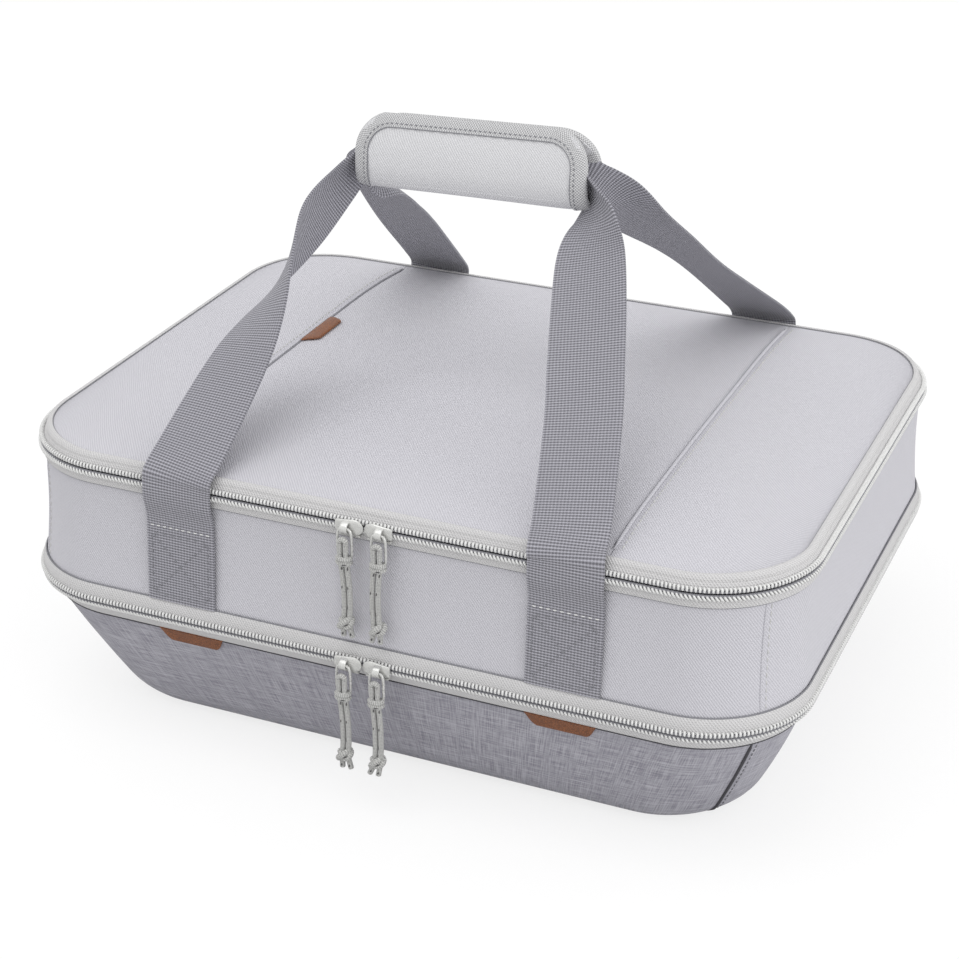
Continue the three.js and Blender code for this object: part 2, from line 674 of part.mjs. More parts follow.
// Places along one half of a strap, from its sewn end to the grip: centre, outer edge's way, width.
function strapHalf(side, face) {
  const tuck = LOW_ZIP_Z + LOW_TAPE_REACH_UP + CLEAR * 2;
  const onWall = (z, lift) => v(side * STRAP_X, face * (sizeAt(z)[1] + lift), z);
  const flat = CLEAR + STRAP / 2;
  const proud = flat - COIL_OUT;
  const end = GRIP_X + side * GRIP_LENGTH / 2;
  const level = TOP_HALF_DEPTH + proud;
  const along = v(side, 0, 0);
  const places = [
    [onWall(tuck, flat), along, STRAP_WIDTH],
    [onWall(STITCH_Z, flat), along, STRAP_WIDTH],
    [onWall(DECK_EDGE - STRAP_RAMP, flat), along, STRAP_WIDTH],
    [onWall(DECK_EDGE - TAPE_LAP, proud + CLEAR), along, STRAP_WIDTH],
    [v(side * STRAP_X, face * level, LID_RIM_Z + STRAP / 2), along, STRAP_WIDTH],
  ];
  const bend = v(side * (STRAP_X - STRAP), face * (level - BEND_IN), LID_RIM_Z + BEND_UP);
  const neck = v(end + side * NECK_OUT, face * NECK_SPREAD, GRIP_Z - NECK_DROP);
  [0, 0.25, 0.5, 0.75, 1].forEach((t) => {
    const turn = v(side, -face * 0.45 * t ** 3, 0.35 * t ** 3);
    places.push([bend.clone().lerp(neck, t), turn, STRAP_WIDTH - 5 * t ** 3]);
  });
  const run = POCKET - flat;
  const gather = lerp(FOLDED_WIDTH, STRAP_WIDTH, 0.45);
  const turning = v(end + side * NECK_OUT * 0.7, face * NECK_SPREAD / 2, GRIP_Z - NECK_DROP * 0.6);
  places.push([turning, v(side * 0.6, -face * 0.4, 0.7), gather]);
  const entering = v(end + side * NECK_OUT * 0.36, face * (run - STRAP * 0.65), RUN_Z - STRAP * 0.65);
  places.push([entering, v(side * 0.15, 0, 1), FOLDED_WIDTH + CLEAR]);
  places.push([v(end + side * CLEAR, face * run, RUN_Z), v(0, 0, 1), FOLDED_WIDTH]);
  places.push([v(end - side * GRIP_LENGTH / 4, face * run, RUN_Z), v(0, 0, 1), FOLDED_WIDTH]);
  return places;
}

function strap(face) {
  const places = strapHalf(-1, face).concat(strapHalf(1, face).reverse());
  const rings = places.map(([centre, way, width], i) => {
    const before = places[Math.max(i - 1, 0)][0];
    const after = places[Math.min(i + 1, places.length - 1)][0];
    const along = after.clone().sub(before).normalize();
    const side = way.clone().addScaledVector(along, -way.dot(along)).normalize();
    const out = along.clone().cross(side);
    return [[1, 1], [-1, 1], [-1, -1], [1, -1]].map(([a, b]) => centre.clone()
      .addScaledVector(side, a * width / 2)
      .addScaledVector(out, b * STRAP / 2));
  });
  return loft(rings);
}

add('front_strap', strap(-1), WEBBING);
add('rear_strap', strap(1), WEBBING);

export default model;
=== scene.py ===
# %% [markdown]
# # A casserole carrier in cloth, webbing and zips
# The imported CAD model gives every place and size. This lesson dresses it: each soft solid is replaced
# by a surface worked out with numpy, and each finish is built from nodes. Lengths are in metres.

# %% Load the frame
import json
import math

import bpy
import numpy as np
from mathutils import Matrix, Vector


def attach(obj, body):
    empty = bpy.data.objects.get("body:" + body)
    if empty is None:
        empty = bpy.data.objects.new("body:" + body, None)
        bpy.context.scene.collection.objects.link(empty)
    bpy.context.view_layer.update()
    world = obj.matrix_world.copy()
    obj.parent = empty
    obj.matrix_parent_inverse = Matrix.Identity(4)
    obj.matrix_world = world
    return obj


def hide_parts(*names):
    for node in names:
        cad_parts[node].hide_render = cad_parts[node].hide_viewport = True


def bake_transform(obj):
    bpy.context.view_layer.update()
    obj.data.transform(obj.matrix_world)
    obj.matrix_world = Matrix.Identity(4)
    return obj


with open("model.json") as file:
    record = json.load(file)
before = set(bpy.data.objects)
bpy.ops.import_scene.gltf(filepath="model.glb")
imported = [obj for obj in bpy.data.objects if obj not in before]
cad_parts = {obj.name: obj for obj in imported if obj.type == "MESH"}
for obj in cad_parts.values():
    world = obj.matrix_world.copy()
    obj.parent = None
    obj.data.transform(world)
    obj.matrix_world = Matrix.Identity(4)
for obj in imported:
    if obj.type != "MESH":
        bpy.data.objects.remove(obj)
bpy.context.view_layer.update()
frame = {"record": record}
joints = {joint["name"]: joint for joint in frame["record"]["behaviour"]["joints"]}
MM = 0.001
UP = np.array([0, 0, 1.0])

# %% [markdown]
# ## Camera
# The photograph was taken from the front right and above. Its two zip lines, base and rim were fitted
# with a pinhole camera, which gives the lens and the place. A camera looks along its own -Z, so
# turning that axis towards the middle of the carrier aims it.

# %% Place the camera
EYE = Vector((0.4082, -0.9665, 0.6321))
AIM = Vector((-0.00826, 0.0, 0.10341))
lens = bpy.data.cameras.new("camera")
lens.lens = 80.65
lens.sensor_width = 36
camera = bpy.data.objects.new("camera", lens)
camera.location = EYE
camera.rotation_euler = (AIM - EYE).to_track_quat("-Z", "Y").to_euler()
bpy.context.collection.objects.link(camera)
bpy.context.scene.camera = camera
print("camera", round((AIM - EYE).length, 3), "m from the carrier")

# %% [markdown]
# ## Nets: surfaces from arrays
# A surface could be modelled by hand, but here it is a net: an array of points with two ways over it.
# Neighbouring points become quads. Each corner also carries its distance across and along the cloth,
# in metres, so a weave keeps its real size wherever the cloth bends.


# %% Nets
def unit(way):
    """Each vector divided by its own length."""
    return way / np.maximum(np.linalg.norm(way, axis=-1, keepdims=True), 1e-12)


def run_of(path):
    """Distance along a path: the lengths of its steps added up."""
    return np.append(0, np.cumsum(np.linalg.norm(np.diff(path, axis=0), axis=-1)))


def net(points, across, along, round_across=False, round_along=False, caps=False):
    """Quads between neighbours of points[along, across]; a way that goes round joins its end to its start.
    The caps pair the first half of an end's points with its second half. The sum of the signed volumes
    under the quads tells whether they face inwards, and then they are turned."""
    rows, columns = points.shape[:2]
    steps = np.arange(rows - 1 + round_along), np.arange(columns - 1 + round_across)
    r, c = np.meshgrid(*steps, indexing="ij")
    corners = [(r, c), (r, c + 1), (r + 1, c + 1), (r + 1, c)]
    quads = np.stack([a % rows * columns + b % columns for a, b in corners], -1).reshape(-1, 4)
    weave = np.stack([np.stack([across[b], along[a]], -1) for a, b in corners], -2).reshape(-1, 4, 2)
    if caps:
        i = np.arange(columns // 2 - 1)
        end = np.stack([i, i + 1, columns - 2 - i, columns - 1 - i], -1)
        quads = np.concatenate([quads, end[:, ::-1], end + (rows - 1) * columns])
        weave = np.concatenate([weave, np.zeros((2 * len(end), 4, 2))])
    points = points.reshape(-1, 3)
    p, q, s, t = (points[quads[:, k]] for k in range(4))
    if np.sum(p * (np.cross(q, s) + np.cross(s, t))) < 0:
        quads, weave = quads[:, ::-1], weave[:, ::-1]
    return points, quads, weave


def together(*nets):
    """Several nets as one: the points in a row, the quads moved on by the points before them."""
    starts = np.cumsum([0] + [len(points) for points, _, _ in nets])
    quads = [q + start for (_, q, _), start in zip(nets, starts)]
    return np.concatenate([n[0] for n in nets]), np.concatenate(quads), np.concatenate([n[2] for n in nets])


def swept(path, side, up, section, closed=False):
    """Section carried along a path: each point is the path's point, plus the section's first number
    times the side way, plus its second number times the up way. Open ends are capped."""
    section = np.broadcast_to(section, (len(path),) + section.shape[-2:])
    points = path[:, None] + section[..., :1] * side[:, None] + section[..., 1:] * up[:, None]
    girth = run_of(np.concatenate([section[len(path) // 2], section[len(path) // 2][:1]]))
    along = run_of(np.concatenate([path, path[:1]])) if closed else run_of(path)
    return net(points, girth, along, True, closed, not closed)


def tube(path, radius, across, sides=10, closed=False):
    """Round tube: a circle swept along the path, square to it, and turned by the across way."""
    step = np.roll(path, -1, 0) - np.roll(path, 1, 0) if closed else np.gradient(path, axis=0)
    side = unit(np.cross(unit(step), across))
    up = np.cross(side, unit(step))
    turn = np.linspace(0, 2 * np.pi, sides, endpoint=False)
    circle = np.stack([np.cos(turn), np.sin(turn)], -1) * np.reshape(radius, (-1, 1, 1))
    return swept(path, side, up, circle, closed)


def quilt(middle, thickness):
    """Two-faced sheet: the middle net pushed both ways along its normal by half the thickness."""
    normal = unit(np.cross(np.gradient(middle, axis=1), np.gradient(middle, axis=0)))
    half = normal * (np.broadcast_to(thickness, middle.shape[:2]) / 2)[..., None]
    points = np.concatenate([middle + half, (middle - half)[:, ::-1]], 1)
    steps = np.linalg.norm(np.diff(middle, axis=1), axis=-1)
    width = np.append(0, np.cumsum(steps[np.argmax(steps.sum(1))]))
    across = np.concatenate([width, width[::-1], width[:1]])
    return net(points, across, run_of(middle[:, middle.shape[1] // 2]), True, False, True)


def piece(name, shape, finish, body=None, stands_for=(), sharp=50):
    """Puts a net into a mesh with its finish; edges bent more than the sharp angle keep a crease."""
    points, quads, weave = shape
    mesh = bpy.data.meshes.new(name)
    mesh.from_pydata(points.tolist(), [], quads.tolist())
    mesh.uv_layers.new(name="weave").data.foreach_set("uv", weave.ravel())
    mesh.polygons.foreach_set("use_smooth", np.ones(len(quads), bool))
    mesh.set_sharp_from_angle(angle=math.radians(sharp))
    mesh.materials.append(finish)
    made = bpy.data.objects.new(name, mesh)
    bpy.context.collection.objects.link(made)
    if body:
        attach(made, body)
    if stands_for:
        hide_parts(*stands_for)
    print(f"{name}: {len(quads)} quads")
    return made


# %% [markdown]
# ## Shader sums
# A finish is mostly arithmetic on places: waves for threads, noise for uneven dye. A small class wraps a
# node's socket, so that a formula can be written as a sum and each operator adds its Math node.


# %% Finishes as formulas
class Dye:
    """A socket that takes part in sums."""

    def __init__(self, finish, socket):
        self.finish = finish
        self.socket = socket

    def math(self, operation, *values):
        return self.finish.node("ShaderNodeMath", {"operation": operation}, dict(enumerate(values)))

    def other(self, output):
        """Another output of the same node."""
        return Dye(self.finish, self.socket.node.outputs[output])

    def __add__(self, value):
        return self.math("ADD", self, value)

    __radd__ = __add__

    def __sub__(self, value):
        return self.math("SUBTRACT", self, value)

    def __rsub__(self, value):
        return self.math("SUBTRACT", value, self)

    def __mul__(self, value):
        return self.math("MULTIPLY", self, value)

    __rmul__ = __mul__

    def wave(self, pitch):
        """From -1 to 1 and back once in each pitch."""
        angle = self * (2 * math.pi / pitch)
        return angle.math("SINE", angle)

    def above(self, level, soft):
        """0 below the level, 1 above it, with a soft edge."""
        settings = {"interpolation_type": "SMOOTHSTEP"}
        sockets = {"Value": self, "From Min": level - soft, "From Max": level + soft}
        return self.finish.node("ShaderNodeMapRange", settings, sockets)


class Finish:
    """A node tree in the making. node() adds any node: its settings first, then values or links."""

    def __init__(self, tree):
        self.tree = tree

    def node(self, kind, settings=None, sockets=None, output=0):
        made = self.tree.nodes.new(kind)
        for key, value in (settings or {}).items():
            setattr(made, key, value)
        for key, value in (sockets or {}).items():
            self.feed(made.inputs[key], value)
        return Dye(self, made.outputs[output])

    def feed(self, socket, value):
        if isinstance(value, Dye):
            self.tree.links.new(value.socket, socket)
        else:
            socket.default_value = value

    def wear(self, **looks):
        """Gives the shader's own sockets their values or links, by name."""
        for key, value in looks.items():
            self.feed(self.tree.nodes["Principled BSDF"].inputs[key.replace("_", " ")], value)

    def mix(self, amount, first, second):
        """From the first colour to the second as the amount goes from 0 to 1."""
        return self.node("ShaderNodeMix", {"data_type": "RGBA"}, {0: amount, 6: first, 7: second}, 2)

    def noise(self, place, scale, detail=3.0):
        return self.node("ShaderNodeTexNoise", {}, {"Vector": place, "Scale": scale, "Detail": detail})

    def place(self, x, y, z=0.0):
        return self.node("ShaderNodeCombineXYZ", {}, {0: x, 1: y, 2: z})

    def on_cloth(self):
        """Distances across and along the cloth."""
        weave = self.node("ShaderNodeUVMap", {"uv_map": "weave"})
        across = self.node("ShaderNodeSeparateXYZ", {}, {0: weave})
        return across, across.other(1)

    def bump(self, height, distance):
        return self.node("ShaderNodeBump", {}, {"Strength": 1.0, "Distance": distance, "Height": height})


def rgb(red, green, blue):
    """Colour from the 0 to 255 numbers of a picture, as the linear light that Blender mixes."""
    share = np.array([red, green, blue]) / 255
    return tuple(np.where(share < 0.04045, share / 12.92, ((share + 0.055) / 1.055) ** 2.4)) + (1.0,)


def finish_of(name, **fixed):
    """A new material and its nodes; what is the same all over is set at once."""
    material = bpy.data.materials.new(name)
    material.use_nodes = True
    dye = Finish(material.node_tree)
    dye.wear(**fixed)
    return material, dye


print("nets and sums are ready")

# %% [markdown]
# ## Braided cord and painted metal
# The pulls are a doubled, braided cord with a few dark flecks. The braid could be modelled strand by
# strand, but at 2.8 mm two crossed waves round and along the cord give its bumps. The sliders are
# painted metal: smooth, with a faint mottle and a thin clear coat.

# %% Cord and slider finishes
braid, dye = finish_of("braided_cord", Roughness=0.85, Sheen_Weight=0.25)
girth, along = dye.on_cloth()
strands = (girth + along * 0.9).wave(0.0015) * (girth - along * 0.9).wave(0.0015)
fleck = dye.noise(dye.place(girth * 500, along * 230), 1.0, 0.0).above(0.71, 0.02)
shade = dye.mix(strands.above(0.0, 0.9), rgb(168, 168, 166), rgb(232, 232, 229))
dye.wear(Base_Color=dye.mix(fleck, shade, rgb(84, 82, 84)))
dye.wear(Normal=dye.bump(strands, 0.0003))

painted_metal, dye = finish_of("painted_metal", Metallic=0.4, Coat_Weight=0.3, Coat_Roughness=0.15)
spot = dye.noise(dye.node("ShaderNodeTexCoord", output=3), 420.0)
dye.wear(Base_Color=dye.mix(spot, rgb(198, 198, 196), rgb(220, 220, 217)))
dye.wear(Roughness=spot * 0.15 + 0.2)
dye.wear(Normal=dye.bump(spot, 0.00005))
print("cord and metal finishes made")

# %% [markdown]
# ## Cord pulls
# Each slider's wire loop carries a doubled cord: a bight inside the loop, a knot on its lower bar, two
# strands and an end knot with two cut tails. Each strand is its own cord, from the bight to its tail.
# The knots are real windings: a turn and a half round the bar, and a trefoil, pulled tight, at the end.

# %% Make the cord pulls
PULLS = ("top_left", "top_right", "low_left", "low_right")
CORD = 2.8 * MM
BAIL_WIRE = 1.5 * MM
BAIL_WIDTH, BAIL_DROP = 9 * MM, 16.5 * MM
STRAND_TOP, STRAND_DROP, KNOT_DROP = 6.4 * MM, 51.6 * MM, 50.5 * MM
BIGHT_DROP, TAIL = 6.5 * MM, 8 * MM
BAR_KNOT_RADIUS, END_KNOT_RADIUS = 1.35 * MM, 1.6 * MM
STRAND = CORD / 2 + 0.15 * MM
FRONT = np.array([0, -1, 0])
SWAY = {"top_left": 1.6, "top_right": -1.4, "low_left": 1.5, "low_right": 1.3}


def strand_path(eye, side, sway):
    """Hangs from the bight to its tail: straight down with a slow sway, and splayed past the end knot."""
    t = np.linspace(0, 1, 36)
    drop = STRAND_TOP + t * STRAND_DROP
    tail = np.clip((drop - KNOT_DROP) / TAIL, 0, 1)
    splay = (side * 0.9 - np.sign(eye[0]) * 1.6) * tail**1.3
    x = eye[0] + side * STRAND + splay * MM + sway * MM * np.sin(np.pi * np.clip(t * 1.2 - 0.2, 0, 1))
    y = np.full_like(t, eye[1] - BAIL_WIRE / 2 - CORD / 2)
    return np.stack([x, y, eye[2] - drop], -1)


def bight_path(eye):
    """Half circle that joins the tops of the two strands."""
    turn = np.linspace(0, np.pi, 13)
    y = np.full_like(turn, eye[1] - BAIL_WIRE / 2 - CORD / 2)
    return np.stack([eye[0] + STRAND * np.cos(turn), y, eye[2] - BIGHT_DROP + STRAND * np.sin(turn)], -1)


def bar_knot_path(eye):
    """Flat spiral of a turn and a half round both strands and the wire, tilted to the left."""
    turn = np.linspace(-0.4 * np.pi, 2.9 * np.pi, 48)
    x = 3.1 * MM * np.cos(turn)
    y = -1.1 * MM - 2.3 * MM * np.sin(turn)
    z = -BAIL_DROP + (turn / (2 * np.pi) - 0.62) * 2.3 * MM + 0.12 * x
    return eye + np.stack([x, y, z], -1)


def end_knot_path(eye, sway):
    """Trefoil: three loops over and under each other round an upright axis, drawn tight."""
    turn = np.linspace(0, 2 * np.pi, 72, endpoint=False)
    reach = (2.0 + 1.0 * np.cos(3 * turn)) * MM
    x = 1.12 * reach * np.cos(2 * turn) + sway * MM * 0.25
    y = 0.95 * reach * np.sin(2 * turn) - BAIL_WIRE / 2 - CORD / 2
    z = 1.7 * MM * np.sin(3 * turn) - KNOT_DROP + 0.3 * x
    return eye + np.stack([x, y, z], -1)


for name in PULLS:
    eye = np.array(joints[f"{name}_pull_swing"]["pos_m"])
    body = f"{name}_pull"
    bight = piece(f"{name}_bight", tube(bight_path(eye), CORD / 2, FRONT), braid, body)
    bar_shape = tube(bar_knot_path(eye), BAR_KNOT_RADIUS, UP)
    bar_knot = piece(f"{name}_bar_knot", bar_shape, braid, body)
    end_path = end_knot_path(eye, SWAY[name])
    end_shape = tube(end_path, END_KNOT_RADIUS, np.array([0, 0.1, 1]), closed=True)
    end_knot = piece(f"{name}_end_knot", end_shape, braid, body)
    for side, word, knots in ((-1, "left", [bight, bar_knot]), (1, "right", [end_knot])):
        path = strand_path(eye, side, SWAY[name])
        strand = piece(f"{name}_{word}_strand", tube(path, CORD / 2, FRONT), braid, body)
        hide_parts(f"{name}_cord")
print("strand length", round(run_of(path)[-1] / MM, 1), "mm")

# %% [markdown]
# ## Sliders and wire loops
# A slider is a cast shell: two plates joined by a post at the nose, a lip that hooks the lower coil, and
# an arched crown that holds the wire loop. Each part is a rounded section carried along a line, which
# gives the soft edges of a casting without bevelling a box.

# %% Make the sliders
LOW_ZIP, TOP_ZIP = 78.5 * MM, 151.5 * MM
HEIGHTS = np.array([0, 78.5, 151.5]) * MM
HALF_LENGTH = np.array([177, 208.8, 206.6]) * MM
HALF_DEPTH = np.array([126.7, 159.8, 153.6]) * MM
CORNER = np.array([50, 53, 53]) * MM
PLATE_HEIGHT, PLATE_START, PLATE_RUN, PLATE_IN = 8.4 * MM, 0.3 * MM, 14.7 * MM, 0.6 * MM
CROWN_REACH, CROWN_RISE, EYE_OUT, LIP_DROP = 4.25 * MM, 2.8 * MM, 2.1 * MM, 4.45 * MM


def depth_at(z):
    """Half depth of the carrier's cloth at a height: straight lines between base, lower and top zip."""
    return np.interp(z, HEIGHTS, HALF_DEPTH)


def rounded(width, height, power=4, sides=20):
    """Superellipse: a circle pushed out towards its box as the power grows."""
    turn = np.linspace(0, 2 * np.pi, sides, endpoint=False) + np.pi / sides
    ring = np.stack([np.cos(turn), np.sin(turn)], -1)
    return np.sign(ring) * abs(ring) ** (2 / power) * np.array([width, height]) / 2


def bar(start, end, width, height, across):
    """Straight bar with a rounded section from one point to another."""
    path = np.linspace(start, end, 5)
    ahead = unit(path[1:2] - path[:1])
    side = np.repeat(unit(np.cross(ahead, across)), 5, 0)
    return swept(path, side, np.cross(side, np.repeat(ahead, 5, 0)), rounded(width, height))


def slider_plate(side, y, z, dome):
    """Plate from nose to tail: its height swells round the nose, then narrows to the tail."""
    t = 0.5 - 0.5 * np.cos(np.linspace(0.03, 1, 22) * np.pi)
    x = PLATE_START + t * PLATE_RUN
    nose = np.sqrt(1 - np.clip(1 - (x - 0.2 * MM) / (5 * MM), 0, 1) ** 2)
    taper = np.interp(x, [5 * MM, 15 * MM], [1, 0.72]) * np.interp(t, [0.97, 1], [1, 0.8])
    height = PLATE_HEIGHT * nose * taper
    thick = (1.1 + dome * np.sin(np.pi * t)) * MM * np.clip(nose * 1.4, 0, 1)
    ring = rounded(1, 1, 2.4, 28)
    section = ring[None] * np.stack([height, thick], -1)[:, None]
    path = np.stack([side * x, np.full_like(x, y), np.full_like(x, z)], -1)
    ways = np.ones((len(t), 1))
    return swept(path, ways * UP, ways * FRONT, section)


def slider_crown(x, y, z):
    """Broad bridge over the wire: a half ellipse that stands out from the plate, inside the loop's width."""
    turn = np.linspace(-0.5 * np.pi, 0.5 * np.pi, 19)
    out, rise = PLATE_IN - CROWN_REACH * np.cos(turn), CROWN_RISE * np.sin(turn)
    path = np.stack([np.full_like(turn, x), y + out, z + rise], -1)
    ahead = unit(np.gradient(path, axis=0))
    side = np.repeat(np.array([[1.0, 0, 0]]), len(turn), 0)
    return swept(path, side, np.cross(side, ahead), rounded(3.8 * MM, 1.0 * MM))


def wire_loop(x, y, z):
    """Wire round a box with rounded ends: a superellipse taller than wide."""
    turn = np.linspace(0, 2 * np.pi, 64, endpoint=False)
    c, s = np.cos(turn), np.sin(turn)
    half = (BAIL_WIDTH - BAIL_WIRE) / 2
    px = x + half * np.sign(c) * abs(c) ** 0.55
    pz = z - BAIL_DROP / 2 + BAIL_DROP / 2 * np.sign(s) * abs(s) ** 0.5
    return tube(np.stack([px, np.full_like(px, y), pz], -1), BAIL_WIRE / 2, FRONT, 10, True)


for name in PULLS:
    x, eye_y, z = joints[f"{name}_pull_swing"]["pos_m"]
    side = math.copysign(1, x)
    outer = eye_y + EYE_OUT
    back = -depth_at(z + 5 * MM if z > LOW_ZIP + MM else z - 5 * MM)
    lip_z = z - LIP_DROP
    post_x, lip_y = side * 2.5 * MM, outer + 1.6 * MM
    post = (post_x, outer + 1 * MM, z), (post_x, back + 0.8 * MM, z)
    lip = (side * 2 * MM, lip_y, lip_z), (side * 14 * MM, lip_y, lip_z)
    shape = together(
        slider_plate(side, outer + PLATE_IN, z, 1.6),
        slider_plate(side, back + 0.75 * MM, z, 0.1),
        bar(*post, 2.6 * MM, 1.0 * MM, (1.0, 0, 0)),
        bar(*lip, 0.9 * MM, 2.4 * MM, (0, 1.0, 0)),
        slider_crown(x, outer, z),
    )
    slider, pull = f"{name}_slider", f"{name}_pull"
    piece(f"{name}_slider_body", shape, painted_metal, slider, [slider])
    loop = wire_loop(x, eye_y, z)
    piece(f"{name}_wire_loop", loop, painted_metal, pull, [f"{name}_bail"])

# %% [markdown]
# ## Cloth finishes
# The lid, band and grip are a pale twill: fine diagonal ribs. The tub is a heather: slubby light and dark
# yarns that cross. Tape, binding and webbing are ribbed weaves. Every thread is a wave over the distances
# across and along the cloth, and slow noise makes the dye uneven.

# %% Twill, heather, tape and webbing finishes
def twill_of(name, dark, light, patch):
    """Diagonal ribs and a finer cross thread go from dark to light; slow noise brings in the patch colour."""
    material, dye = finish_of(name, Roughness=0.9, Sheen_Weight=0.15)
    across, along = dye.on_cloth()
    ribs = (across * 0.75 + along).wave(0.0015)
    threads = (across - along).wave(0.0009)
    uneven = dye.noise(dye.place(across, along), 95.0, 4.0)
    grain = dye.noise(dye.place(across, along), 1500.0, 1.0)
    cloth = dye.mix(ribs * 0.42 + threads * 0.06 + grain * 0.1 + 0.45, dark, light)
    dye.wear(Base_Color=dye.mix(uneven * 0.24, cloth, patch))
    dye.wear(Normal=dye.bump(ribs * 0.7 + threads * 0.3 + grain * 0.3, 0.0001))
    return material


twill = twill_of("pale_twill", rgb(189, 188, 195), rgb(214, 213, 219), rgb(195, 194, 200))
# The grip is the same twill as the lid and band; its copy is painted lighter, which is painted light on the
# grip.
grip_twill = twill_of("grip_twill", rgb(206, 206, 209), rgb(230, 230, 232), rgb(212, 212, 214))

heather, dye = finish_of("heather_weave", Roughness=0.92, Sheen_Weight=0.12)
across, along = dye.on_cloth()
upright = dye.noise(dye.place(across * 75, along * 1750), 1.0, 2.0)
level = dye.noise(dye.place(across * 1750, along * 75), 1.0, 2.0)
slub = dye.noise(dye.place(across * 22, along * 1000), 1.0, 1.0).above(0.64, 0.04)
fill = dye.noise(dye.place(across * 1000, along * 22), 1.0, 1.0).above(0.64, 0.04)
yarn = upright * 0.5 + level * 0.5
cloth = dye.mix(yarn.above(0.5, 0.16), rgb(130, 128, 139), rgb(182, 181, 189))
cloth = dye.mix(slub * 0.3, cloth, rgb(200, 199, 206))
dye.wear(Base_Color=dye.mix(fill * 0.35, cloth, rgb(202, 201, 208)))
dye.wear(Normal=dye.bump(yarn + slub * 0.2 + fill * 0.2, 0.00015))

tape, dye = finish_of("woven_tape", Roughness=0.88, Sheen_Weight=0.12)
across, along = dye.on_cloth()
ribs = (along + across * 0.8).wave(0.0016)
cords = across.wave(0.0011)
uneven = dye.noise(dye.place(across, along), 160.0)
cloth = dye.mix(ribs * 0.3 + cords * 0.12 + 0.5, rgb(190, 189, 190), rgb(220, 219, 219))
dye.wear(Base_Color=dye.mix(uneven * 0.25, cloth, rgb(201, 200, 201)))
dye.wear(Normal=dye.bump(ribs + cords * 0.5, 0.0001))

binding, dye = finish_of("basket_binding", Roughness=0.88, Sheen_Weight=0.12)
across, along = dye.on_cloth()
check = across.wave(0.0017) * along.wave(0.0017)
uneven = dye.noise(dye.place(across, along), 220.0)
cloth = dye.mix(check.above(-0.1, 0.7), rgb(148, 148, 150), rgb(230, 230, 231))
dye.wear(Base_Color=dye.mix(uneven * 0.25, cloth, rgb(194, 194, 196)))
dye.wear(Normal=dye.bump(check, 0.0002))

webbing, dye = finish_of("ribbed_webbing", Roughness=0.85, Sheen_Weight=0.2)
across, along = dye.on_cloth()
ribs = along.wave(0.00145)
cords = across.wave(0.00167)
worn = dye.noise(dye.place(across, along), 60.0, 4.0)
cloth = dye.mix(ribs * 0.45 + cords * 0.2 + 0.5, rgb(94, 93, 100), rgb(186, 185, 194))
dye.wear(Base_Color=dye.mix(worn * 0.3, cloth, rgb(142, 141, 149)))
dye.wear(Normal=dye.bump(ribs + cords * 0.45, 0.00018))
print("cloth finishes made")

# %% [markdown]
# ## Leather, coil, liner and thread finishes
# Leather gets cell-like grain and darker pores. The coils are glossy moulded filament. The liner is a
# satin film with fine creases, painted a little darker in their hollows as shade. Threads go from white to
# dark grey, and the closing strips are a matt fuzz.

# %% The other finishes
leather, dye = finish_of("brown_leather", Coat_Weight=0.05)
place = dye.node("ShaderNodeTexCoord", output=3)
grain = dye.node("ShaderNodeTexVoronoi", {"feature": "DISTANCE_TO_EDGE"}, {"Vector": place, "Scale": 900.0})
tone = dye.noise(place, 130.0, 4.0)
cloth = dye.mix(tone, rgb(120, 68, 36), rgb(158, 98, 56))
dye.wear(Base_Color=dye.mix(grain.above(0.12, 0.1), rgb(104, 60, 34), cloth))
dye.wear(Roughness=tone * 0.25 + 0.42)
dye.wear(Normal=dye.bump(grain, 0.00012))

coil_gloss, dye = finish_of("coil_filament", Coat_Weight=0.2, Coat_Roughness=0.15)
mottle = dye.noise(dye.node("ShaderNodeTexCoord", output=3), 700.0)
dye.wear(Base_Color=dye.mix(mottle, rgb(214, 214, 213), rgb(238, 238, 237)))
dye.wear(Roughness=mottle * 0.12 + 0.2)

liner, dye = finish_of("liner_film", Specular_IOR_Level=0.4)
across, along = dye.on_cloth()
crease_and_shade = dye.noise(dye.place(across, along), 38.0, 5.0)
dots = across.wave(0.004) * along.wave(0.004)
# The film's colour follows the crease height: painted shade, darker in the hollows.
dye.wear(Base_Color=dye.mix(crease_and_shade, rgb(196, 198, 202), rgb(216, 218, 221)))
dye.wear(Roughness=crease_and_shade * 0.2 + 0.34)
dye.wear(Normal=dye.bump(crease_and_shade * 3 + dots * 0.3, 0.0006))

closing_fuzz, dye = finish_of("closing_fuzz", Roughness=1.0, Sheen_Weight=0.3)
fuzz = dye.noise(dye.node("ShaderNodeTexCoord", output=3), 2600.0, 4.0)
dye.wear(Base_Color=dye.mix(fuzz, rgb(128, 128, 131), rgb(176, 176, 178)))
dye.wear(Normal=dye.bump(fuzz, 0.0006))


def thread_of(name, dark, light):
    """Twisted thread: slanting turns that go from dark to light."""
    material, dye = finish_of(name, Roughness=0.7)
    girth, along = dye.on_cloth()
    twist = (along + girth * 0.6).wave(0.0006)
    dye.wear(Base_Color=dye.mix(twist * 0.5 + 0.5, dark, light))
    return material


pale_thread = thread_of("pale_thread", rgb(186, 186, 184), rgb(218, 218, 215))
white_thread = thread_of("white_thread", rgb(212, 212, 212), rgb(240, 240, 238))
grey_thread = thread_of("grey_thread", rgb(112, 112, 118), rgb(150, 150, 155))
dark_seam = thread_of("dark_seam", rgb(58, 57, 62), rgb(78, 77, 82))
print("leather, coil, liner and thread finishes made")

# %% [markdown]
# ## The side of the carrier as one function
# Every belt of cloth runs round the same outline: a rounded rectangle that flares to the lower zip and
# tapers to the base. Between its knots the corner centres and the outward turn change evenly, so one
# formula gives a point for any distance round, height and distance out from the cloth.

